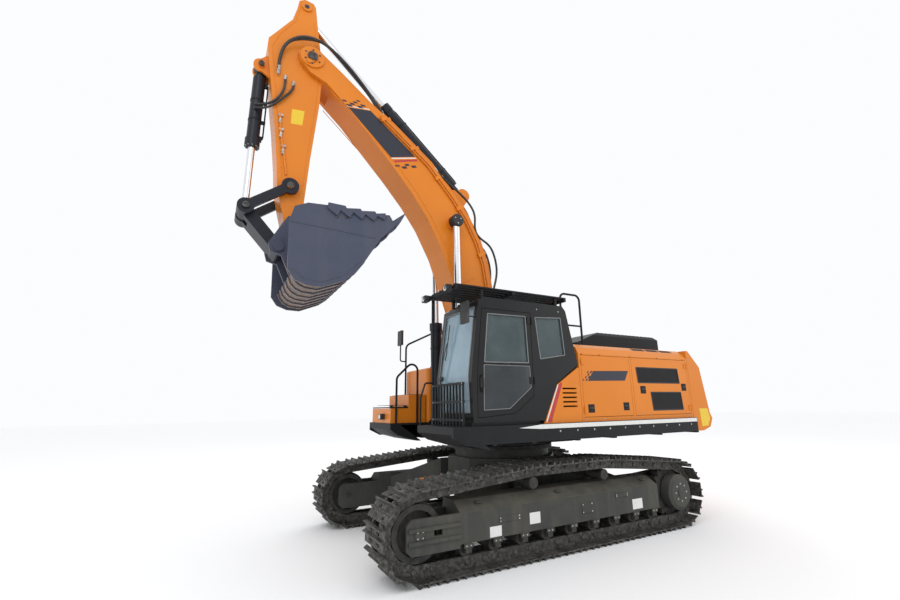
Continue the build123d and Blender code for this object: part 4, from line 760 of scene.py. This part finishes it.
seams = Batch("boom_welds", "boom_body", "orange_paint")
caps = Batch("boom_pin_caps", "boom_body", "pin_steel")
tabs = Batch("boom_pin_tabs", "boom_body", "orange_paint")
discs = Batch("cylinder_pin_discs", "boom_body", "dark_plastic")
bolts = Batch("cylinder_pin_bolts", "boom_body", "zinc")
for side, _ in SIDES:
    seams.bead(BOOM, SEAM, side * (BOOM_FACE + 0.5), 5.5)
    seams.bead(BOOM, CROSS_SEAM, side * (BOOM_FACE + 0.5), 6)
    tip = TIP + Y * (side * TIP_BOSS / MM)
    caps.lathe(tip, Y * side, TIP_CAP)
    for place in circle(tip, X, Z, 118, 6, 30):
        caps.bolt(place - Y * side * 0.022, Y * side, 11)
    tabs.block(BOOM.at(5795, -66, side * 305), (66, 16, 116), BOOM.axes, 4)
    centre = BOOM_ROD_PIN + Y * (side * ROD_EYE / MM)
    discs.lathe(centre, Y * side, ROD_DISC, 32)
    for place in circle(centre, X, Z, 56, 3, 30):
        bolts.bolt(place + Y * side * 0.012, Y * side, 9)
finish_all(seams, caps, tabs, discs, bolts)


# ---- hoses ----
def hose(name, route, thick, bodies, span=None):
    """A hydraulic hose along a NURBS route, riding on its first body, or, given a span, standing free of both
    bodies.
    """
    path = spline(route)
    group = Batch(name, bodies[0], "hose_rubber")
    group.tube(path, thick / 2, HOSE_SIDES)
    piece = group.make()
    if span:
        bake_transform(piece)
    else:
        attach(piece, bodies[0])


def fitting(group, place, ahead, radius):
    """Crimped hose end and its nut."""
    sleeve = [(radius * 1.1, 0), (radius * 1.25, 6), (radius * 1.25, 44), (radius * 1.1, 50)]
    nut = [(radius * 1.3, 50), (radius * 1.5, 53), (radius * 1.5, 74), (radius * 1.3, 78)]
    group.lathe(place, ahead, sleeve, 14)
    group.lathe(place, ahead, nut, 6)


boom_ends = Batch("boom_hose_ends", "boom_body", "zinc")
arm_ends = Batch("arm_hose_ends", "arm_body", "zinc")
deck_ends = Batch("deck_hose_ends", "upper", "zinc")
FLOOR_X = -330  # where the foot hoses leave the main frame's floor
for index, y in enumerate((-140, -70, 0, 70, 140)):
    route = [at(FLOOR_X, y, 1300), at(FLOOR_X, y, 1500), at(-350, y, 2100), at(FLOOR_X, y, 2520),
             at(-180, y, 2860), BOOM.at(850, 640, y), BOOM.at(980, 640, y), BOOM.at(1080, 655, y)]
    span = (at(FLOOR_X, y, 2150), BOOM.at(700, 640, y))
    hose("foot_hose_%d" % index, route, 38, ("upper", "boom_body"), span)
    fitting(deck_ends, at(FLOOR_X, y, 1285), Z, 17)
    fitting(boom_ends, BOOM.at(1150, 670, y), -BOOM.ahead, 17)
deck_ends.block(at(FLOOR_X, 0, 1292), (110, 380, 24), bevel=4)

# lift and drop keep the inner hose of a pair clear of the outer one
for name, start_y, y, lift, drop in (("outer", 215, 325, 0, 0), ("inner", 165, 290, -45, 60)):
    start = BOOM.at(4740, 655, start_y)
    route = [start, BOOM.at(4860, 650 + lift, 225), ARM.at(280, -860, y), ARM.at(-60, -520 - lift, y),
             ARM.at(-300 + lift, -160, y), ARM.at(-300 - lift * 0.6, 150, y), ARM.at(-120, 380, 280),
             ARM.at(120 + drop, 450, 222), ARM.at(330 + drop, 440, 222)]
    span = (ARM.at(-100, -480, 300), ARM.at(-100, 330, 300))
    hose("tip_hose_" + name, route, 40, ("boom_body", "arm_body"), span)
    fitting(boom_ends, start, BOOM.ahead, 18)
    fitting(arm_ends, ARM.at(380 + drop, 436, 222), -ARM.ahead, 18)
    route = [ARM.at(470 + drop, 330 - drop * 2, 214), ARM.at(620, 320 - drop * 2, 225),
             ARM.at(840 + drop, 380, 240), ARM.at(1010 + drop, 540, 205), ARM.at(960 + drop, 680, 100)]
    span = (ARM.at(640, 330, 220), ARM.at(950, 620, 160))
    hose("bucket_cylinder_hose_" + name, route, 34, ("arm_body", "bucket_cylinder"), span)
    fitting(arm_ends, ARM.at(420 + drop, 334 - drop * 2, 214), ARM.ahead, 15)
for a, u in ((1141, 330), (1366, 300), (1620, 245)):
    fitting(arm_ends, ARM.at(a, u, 214), ARM.ahead, 14)
    arm_ends.block(ARM.at(a - 50, u, 208), (36, 26, 66), ARM.axes, 3)
    for off in (20, -20):
        arm_ends.bolt(ARM.at(a - 50, u + off, 221), Y, 8)

CREST = [(600, 440), (1456, 808), (1787, 960), (2200, 1070), (2640, 1110), (3052, 1085), (3731, 985),
         (4532, 709)]


def crest(along, rise, y):
    """A point above the boom's top edge."""
    return BOOM.at(along, between(CREST, along) + rise, y)


# the back hoses lift between their clamps, each higher than the one before
for index, y in enumerate((-60, 10, 80, 238)):
    lift = 70 + 35 * index
    stations = [(1190, 18), (1330, 30), (1560, 40 + lift), (1800, 60 + lift), (2050, 40 + lift), (2260, 36),
                (2420, 26), (2640, 40 + lift * 0.8), (2860, 60 + lift * 0.8), (3100, 50 + lift * 0.5),
                (3420, 38), (3560, 20)]
    hose("back_hose_%d" % index, [crest(a, rise, y) for a, rise in stations], 36, ("boom_body",))
    fitting(boom_ends, crest(3640, 22, y), -BOOM.ahead, 16)
for a in (1300, 2350, 3500):
    boom_ends.block(crest(a, 24, 10), (34, 240, 54), BOOM.axes, 4)
    for y in (-96, 116):
        boom_ends.bolt(crest(a, 51, y), BOOM.up, 8)
finish_all(boom_ends, arm_ends, deck_ends)
pipe = Batch("arm_pipe", "arm_body", "orange_paint")
pipe.tube([ARM.at(a, u, 213) for a, u in ((1060, 345), (1366, 306), (1700, 228), (2000, 170))], 13, 12)
pipe.done()

# ---- housing and deck ----
navy = Batch("door_band", "door_front", "decal_navy")
wall(navy, [(-650, 2250), (-1390, 2268), (-1300, 2120), (-535, 2106)], HOOD_FACE)
for corners in chequers((-632, 2252), (34, -3), (22, -37), 4, 4):
    wall(navy, corners, HOOD_FACE)
SKIRT_STRIPE = [(760, 1500), (400, 1534), (-2860, 1534), (-2860, 1478), (400, 1478)]
white = Batch("housing_stripes", "upper", "decal_white")
wall(white, strip((36, 2048), (270, 1560), 8), HOOD_FACE)
red = Batch("housing_accent", "upper", "decal_red")
wall(red, [(18, 2056), (-34, 2086), (-34, 2040), (168, 1600), (178, 1556), (250, 1556)], HOOD_FACE)
patch = Batch("tail_corner_patches", "upper", "sign_yellow")
for side, _ in SIDES:
    wall(white, SKIRT_STRIPE, side * DECK_FACE)
    wall(patch, [(-3040, 1680), (-3260, 1680), (-3305, 1520), (-3225, 1400), (-3060, 1392)], side * HOOD_FACE)
finish_all(navy, white, red, patch)

# the slots are flat near-black plates: painted shade inside the openings
slots = Batch("housing_slots", "upper", "slot_dark")
for side, _ in SIDES:
    lean = Vector((0, side * 0.479, 0.878))  # square to the hood's sloping shoulder
    for x in (-1640, -1980, -2320):
        rim = ((x, 1428, 2602), (x - 290, 1428, 2602), (x - 290, 1362, 2638), (x, 1362, 2638))
        slots.plate([at(a, side * b, c) - lean * 0.001 for a, b, c in rim], lean * 0.003)
slots.done()

FILLER_CAP = [(80, -12), (82, 8), (74, 16), (20, 16), (20, 26), (0, 26)]
bolts = Batch("housing_bolts", "upper", "zinc")
lugs = Batch("lifting_lugs", "upper", "orange_paint")
stops = Batch("door_stops", "upper", "dark_plastic")
for side, _ in SIDES:
    for x in range(-2700, 400, 310):
        bolts.bolt(at(x, side * (DECK_FACE + 1), 1440), Y * side, 10)
    for x in (-2750, -2100, -1452, -800, -440):
        bolts.bolt(at(x, side * HOOD_FACE, 1573), Y * side, 8)
        stops.lathe(at(x, side * HOOD_FACE, 2485), Y * side, [(9, 0), (9, 5), (0, 8)], 12)
    lugs.lathe(at(-3060, side * 900, TAIL_TOP - 2), Z, [(40, 0), (40, 10), (30, 16), (0, 16)], 20)
    lugs.block(at(-2990, side * 1120, TAIL_TOP + 11), (150, 30, 60), bevel=8)
for index in range(5):
    for side in (-1, 1):
        bolts.bolt(at(-1120 - 380 * index, side * 780, 2700), Y * side, 8)
for x, top in ((-5, HOOD_TOP), (715, 2465)):
    stops.lathe(at(x, -1000, top), Z, FILLER_CAP, 28)
stops.block(at(-50, -1502, 2200), (40, 10, 330), bevel=4)
finish_all(bolts, lugs, stops)

SLAT_STEP = 17
VENT_LEAN = 20  # how far a vent's top is ahead of its foot
screens = Batch("vent_screens", "door_rear", "vent_mesh")
rims = Batch("vent_rims", "door_rear", "dark_plastic")
for x0, x1, z0, z1 in ((-2600, -1594, 2094, 2326), (-2620, -1884, 1674, 1946)):
    corners = [(x0, z0), (x1, z0), (x1 + VENT_LEAN, z1), (x0 + VENT_LEAN, z1)]
    wall(screens, corners, HOOD_FACE - 6, 2)
    for a, b in closed(corners):
        wall(rims, strip(a, b, 9), HOOD_FACE - 1, 4)
    for k in range(int((z1 - z0) / SLAT_STEP)):
        z = z0 + 12 + SLAT_STEP * k
        lean = VENT_LEAN * (z - z0) / (z1 - z0)
        screens.tube([at(x0 + lean, HOOD_FACE - 2, z), at(x1 + lean, HOOD_FACE - 2, z)], 3, 5)
finish_all(screens, rims)

CUP = 58  # half a latch recess's height
LATCHES = {"door_front": ((-560, 1720), (-1280, 1740)), "door_rear": ((-1690, 1985), (-2700, 2030))}
for body, places in LATCHES.items():
    # each latch recess is a flat near-black plate: painted shade in the hollow
    recess = Batch("latch_recess_" + body, body, "slot_dark")
    handle = Batch("latch_" + body, body, "dark_plastic")
    for x, z in places:
        wall(recess, square(x - CUP - 4, x + CUP + 4, z - CUP, z + CUP), HOOD_FACE, 1)
        handle.block(at(x, HOOD_FACE + 4, z + 8), (84, 8, 30), bevel=3)
        handle.lathe(at(x, HOOD_FACE + 1, z - 32), Y, [(12, 0), (12, 5), (0, 6)], 16)
    finish_all(recess, handle)

STUD_STEP = 60
STUD = [(11, 0), (9, 5), (6, 5), (5, 2), (0, 2)]
LID_STUD = [(11, 0), (9, 6), (6, 6), (5, 2), (0, 2)]


def studs(group, x, y, z, columns, rows, profile):
    """A grid of raised anti-slip rings from its lowest corner."""
    for i in range(columns):
        for k in range(rows):
            group.lathe(at(x + STUD_STEP * i, y + STUD_STEP * k, z), Z, profile, 8)


grip = Batch("anti_slip_plates", "upper", "dark_plastic")
for x, y, z, w, d in ((1230, -1020, BOX_TOP, 240, 800), (-1900, -1150, HOOD_TOP, 900, 300),
                      (-850, 0, HOOD_TOP, 300, 900)):
    grip.block(at(x, y, z + 2), (w, d, 6), bevel=2)
    studs(grip, x - w / 2 + 30, y - d / 2 + 30, z + 5, w // STUD_STEP, d // STUD_STEP, STUD)
lid_grip = Batch("box_lid_grip", "box_lid", "dark_plastic")
studs(lid_grip, 1440, -1380, 1813, 4, 13, LID_STUD)
finish_all(grip, lid_grip)

# ---- cab ----
SIDE_PANE = [(370, 2960), (-90, 2990), (-130, 2460), (310, 2390)]
RIGHT_PANE = [(1200, 2990), (-90, 2990), (-130, 2330), (1260, 2200)]
DOOR_PANE = [(1215, 2320), (1150, 2950), (540, 2960), (520, 2330)]
LOW_PANE = [(1222, 2284), (505, 2284), (492, 2010), (850, 1742), (1236, 1728)]
WINDSCREEN = [(1580, 1390), (2150, 1410), (3110, 1290)]  # z, x
PANE_SIDES, PANE_ENDS = (610, 1415), (1700, 3040)  # the windscreen's edges: y, z
CAB_RIGHT = 530


def front(y, z, off=0):
    """A point off the windscreen's plane."""
    return at(between(WINDSCREEN, z) + off, y, z)


def seal(group, corners, y, radius=7):
    for a, b in closed(corners):
        group.tube([at(a[0], y, a[1]), at(b[0], y, b[1])], radius, 8)


seals = Batch("cab_seals", "upper", "seal_light")
seal(seals, SIDE_PANE, CAB_FACE)
seal(seals, RIGHT_PANE, CAB_RIGHT)
for y in PANE_SIDES:
    seals.tube([front(y, z) for z in (PANE_ENDS[0], 2150, PANE_ENDS[1])], 8, 8)
for z in PANE_ENDS:
    seals.tube([front(y, z) for y in PANE_SIDES], 8, 8)
door_seals = Batch("cab_door_seals", "cab_entry_door", "seal_light")
seal(door_seals, DOOR_PANE, CAB_FACE)
seal(door_seals, LOW_PANE, CAB_FACE, 5)
low_pane = Batch("cab_door_low_pane", "cab_entry_door", "dark_glass", "window")
wall(low_pane, LOW_PANE, CAB_FACE, 2)
latches = Batch("cab_door_latches", "cab_entry_door", "dark_plastic")
latches.block(at(1258, CAB_FACE + 6, 2060), (56, 14, 120), bevel=5)
latches.lathe(at(1258, CAB_FACE + 10, 1990), Y, [(16, 0), (16, 6), (6, 8), (0, 8)], 18)
latches.block(at(886, CAB_FACE + 3, 2305), (120, 12, 22), bevel=4)
finish_all(seals, door_seals, low_pane, latches)

wiper = Batch("windscreen_wiper", "upper", "dark_plastic")
wiper.block(at(between(WINDSCREEN, 2180) + 12, 680, 2150), (34, 60, 60), bevel=8)
wiper.tube([at(between(WINDSCREEN, 2180) + 24, 680, 2160), front(720, 2400, 34), front(770, 2640, 22)], 6, 8)
wiper.tube([front(760, 2400, 14), front(780, 2900, 12)], 7, 6)
mirrors = Batch("mirror_faces", "upper", "mirror")
for x, *edges in ((1455, 1393, 1517, 2815, 3065), (1195, -1489, -1365, 2905, 3145)):
    mirrors.plate([at(x, y, z) for y, z in square(*edges)], X * -0.003)
lenses = Batch("lamp_lenses", "upper", "lamp_silver")
for place in ((1670, 620, 3280), (1670, 1300, 3280), (1750, -900, 1640)):
    lenses.lathe(at(*place), X, [(38, -4), (38, 5), (30, 9), (10, 11), (0, 11)], 24)
bolts = Batch("cab_bolts", "upper", "zinc")
for y in (600, 1012, 1400):
    for x in (-180, 400, 1000, 1540):
        bolts.bolt(at(x, y, GUARD_TOP), Z, 8)
for z in (1614, 1834, 2054):
    for y in (620, 1430):
        bolts.bolt(at(1515, y, z), X, 7)
for x in (-60, 330):
    bolts.bolt(at(x, CAB_FACE, 3080), Y, 8)
finish_all(wiper, mirrors, lenses, bolts)


def cushion(name, centre, axes, size, crown):
    """A crowned foam cushion with sides drawn in between its corners."""
    bm = bmesh.new()
    bmesh.ops.create_cube(bm, size=2.0)
    bmesh.ops.subdivide_edges(bm, edges=bm.edges[:], cuts=9, use_grid_fill=True)
    for v in bm.verts:
        u, w, t = v.co
        rounding = (1 - abs(u) ** 5 * 0.16) * (1 - abs(w) ** 5 * 0.16)
        swell = 1 + crown * (1 - u * u) * (1 - w * w)
        draw = 1 - 0.035 * (1 - w * w) * abs(u) ** 3
        side = 1 - 0.035 * (1 - u * u) * abs(w) ** 3
        corner = 1 - 0.10 * abs(t) ** 4
        place = (u * size[0] / 2 * draw * corner * (1 - 0.06 * w ** 6),
                 w * size[1] / 2 * side * corner * (1 - 0.06 * u ** 6),
                 t * size[2] / 2 * rounding * swell)
        v.co = centre + sum((axes[i] * (place[i] / MM) for i in range(3)), Vector())
    mesh = bpy.data.meshes.new(name)
    bm.to_mesh(mesh)
    bm.free()
    mesh.materials.append(FINISH["seat_cloth"])
    piece = placed(name, mesh)
    smooth = piece.modifiers.new("smooth", "SUBSURF")
    smooth.levels = smooth.render_levels = 1
    mesh.shade_smooth()
    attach(piece, "upper")
    return piece


SEAT_Y = 1012.5
back_up = Vector((-100, 0, 600)).normalized()
back_out = Vector((back_up.z, 0, -back_up.x))
base = cushion("seat_cushion", at(585, SEAT_Y, 1955), (X, Y, Z), (500, 490, 130), 0.12)
cushion("seat_back", at(322, SEAT_Y, 2300), (back_up, Y, back_out), (590, 470, 118), 0.12)
cushion("seat_headrest", at(268, SEAT_Y, 2685), (Z, Y, X), (190, 250, 82), 0.1)
stand = Batch("seat_base", "upper", "dark_plastic")
stand.block(at(540, SEAT_Y, 1700), (340, 380, 150), bevel=14)
stand.block(at(560, SEAT_Y, 1830), (420, 440, 110), bevel=18)
for off in (-60, 60):
    stand.rod(at(275, SEAT_Y + off, 2560), at(270, SEAT_Y + off, 2640), 7)
stand.done()
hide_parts("seat")


# ---- cylinders ----
PORT = 260  # the lower port, along the barrel from its pin


def dress_barrel(name, start, end, offsets, length, radius, turn=1):
    """Gland bolts, port blocks, feed pipe and two clamp bands on a cylinder's barrels."""
    ahead = (end - start).normalized()
    out = ahead.cross(Y) * turn
    axes = (ahead, Y, out)
    bolts = Batch(name + "_gland_bolts", name, "zinc")
    pipes = Batch(name + "_feed_pipe", name, "dark_paint")
    rim = [(radius - 1, -16), (radius + 5, -13), (radius + 5, 13), (radius - 1, 16), (radius - 1, -16)]
    for y in offsets:
        origin = start + Y * (y / MM)

        def off(along, up):
            return origin + ahead * (along / MM) + out * ((radius + up) / MM)

        for place in circle(origin + ahead * (length / MM), out, Y, radius + 2, 10, 18):
            bolts.bolt(place - ahead * 0.001, ahead, 8, 7)
        for along in (PORT, length - 150):
            pipes.block(off(along, 8), (62, 50, 34), axes, 5)
        run = ((PORT, 34), (PORT + 40, 40), (length - 190, 40), (length - 150, 30))
        pipes.tube([off(along, up) for along, up in run], 11, 10)
        for along in (560, length - 420):
            pipes.lathe(origin + ahead * (along / MM), ahead, rim, 40)
            pipes.block(off(along, 26), (30, 44, 46), axes, 4)
        bolts.bolt(off(PORT + 2, 24), out, 9)
    finish_all(bolts, pipes)


dress_barrel("boom_cylinder", BOOM_BASE_PIN, BOOM_ROD_PIN, (-400, 400), 1665, 94)
dress_barrel("arm_cylinder", ARM_BASE_PIN, ARM_ROD_PIN, (0,), 1980, 100)
dress_barrel("bucket_cylinder", BUCKET_BASE_PIN, BUCKET_ROD_PIN, (0,), 1300, 85, -1)

# ---- arm ----
SIGN = [(929, 192), (905, 18), (1149, 30), (1171, 187)]
SEAMS = ([(-900, 240), (-620, 280), (-289, 470), (-20, 560), (420, 490), (1209, 350), (1817, 258),
          (2300, 176)],
         [(-700, 20), (-251, -60), (100, -128), (766, -126), (1668, -80), (2100, -66)])
PIN_CAP = [(40, -30), (40, 0), (34, 4), (12, 4), (9, 0), (0, 0)]
LINK_CAP = [(44, -1), (44, 2), (38, 5), (10, 5), (7, 3), (0, 3)]
sign = Batch("arm_blank_sign", "arm_body", "sign_yellow")
seams = Batch("arm_welds", "arm_body", "orange_paint")
caps = Batch("arm_pin_caps", "arm_body", "pin_steel")
for side, _ in SIDES:
    slab(sign, ARM, SIGN, side * ARM_FACE, 1.5)
    for corners in SEAMS:
        seams.bead(ARM, corners, side * (ARM_FACE + 0.5), 5.5)
    for pin, y in ((BUCKET_BASE_PIN, 150), (ARM_ROD_PIN, 220)):
        centre = pin + Y * (side * y / MM)
        caps.lathe(centre, Y * side, PIN_CAP, 24)
        caps.bolt(centre + Z * 0.058 - Y * (side * 0.022), Y * side, 9)
finish_all(sign, seams, caps)
for name, body, pin in (("link_upper_pin_caps", "arm_body", at(3530, 0, 4770)),
                        ("link_lower_pin_caps", "side_link_pair", BUCKET_ROD_PIN)):
    caps = Batch(name, body, "pin_steel")
    for side, _ in SIDES:
        caps.lathe(pin + Y * (side * reach("side_links", "y") / MM), Y * side, LINK_CAP, 24)
    caps.done()

# ---- bucket ----
creases = Batch("bucket_creases", "bucket_body", "bucket_paint")
bolts = Batch("bucket_cutter_bolts", "bucket_body", "pin_steel")
for side, _ in SIDES:
    creases.bead(BUCKET, [(-150, 160), (380, 262), (928, 378)], side * BUCKET_FACE, 7)
    creases.bead(BUCKET, [(-190, 765), (-60, 890), (135, 950), (420, 885), (690, 690)], side * BUCKET_FACE, 6)
    for a in (430, 560, 780, 910, 1060):
        bolts.bolt(BUCKET.at(a, 84 + (a - 430) * 0.02, side * BUCKET_FACE), Y * side, 16, 12)
for index in range(5):  # a locking pin behind each tooth
    y = -730 + 1460 * index / 4
    bolts.rod(BUCKET.at(1240, 196, y - 70), BUCKET.at(1240, 196, y + 70), 13, 12, 3)
finish_all(creases, bolts)

# ---- stage, light and camera ----
FLOOR_SIZE = 160  # metres
pale = Shader("stage_floor", 0.9)
pale.set("Base Color", (0.97, 0.97, 0.97, 1))
bpy.ops.mesh.primitive_plane_add(size=FLOOR_SIZE, location=(0, 0, cad_box[0].z))
floor = bpy.context.object
floor.name = "stage_floor"
floor.data.materials.append(pale.mat)

world = bpy.data.worlds.new("studio")
SCENE.world = world
world.use_nodes = True
sky = world.node_tree.nodes["Background"].inputs
sky["Color"].default_value = (0.97, 0.98, 1.0, 1)
sky["Strength"].default_value = 1.0
SCENE.view_settings.view_transform = "Standard"


def area_light(name, place, target, size, watts):
    data = bpy.data.lights.new(name, "AREA")
    data.energy = watts
    data.size = size
    lamp = placed(name, data)
    lamp.location = place
    lamp.rotation_euler = (Vector(target) - Vector(place)).to_track_quat("-Z", "Y").to_euler()


area_light("key_light", (9.0, 13.0, 15.0), (0, 0, 3), 9.0, 700)
area_light("fill_light", (-12.0, 9.0, 8.0), (0, 0, 2), 12.0, 200)
area_light("back_light", (-8.0, -12.0, 12.0), (0, 0, 3), 10.0, 300)

CAMERA_PLACE = (4.2184, 6.2757, 1.77)  # metres about the swing axis
YAW, TILT, ROLL = 1.0501, 0.249, -0.0171
forward = Vector((-math.cos(YAW) * math.cos(TILT), -math.sin(YAW) * math.cos(TILT), math.sin(TILT)))
right = forward.cross(Z).normalized()
up = right.cross(forward)
right, up = (math.cos(ROLL) * right + math.sin(ROLL) * up, -math.sin(ROLL) * right + math.cos(ROLL) * up)
lens = bpy.data.cameras.new("camera")
lens.sensor_width = 36.0
lens.lens = 17.72
lens.shift_x = -0.0171
lens.shift_y = -0.0063
lens.clip_end = 300.0
camera = placed("camera", lens)
camera.matrix_world = Matrix((right, up, -forward)).transposed().to_4x4()
camera.location = (CAMERA_PLACE[0] + X0, CAMERA_PLACE[1], CAMERA_PLACE[2])
SCENE.camera = camera
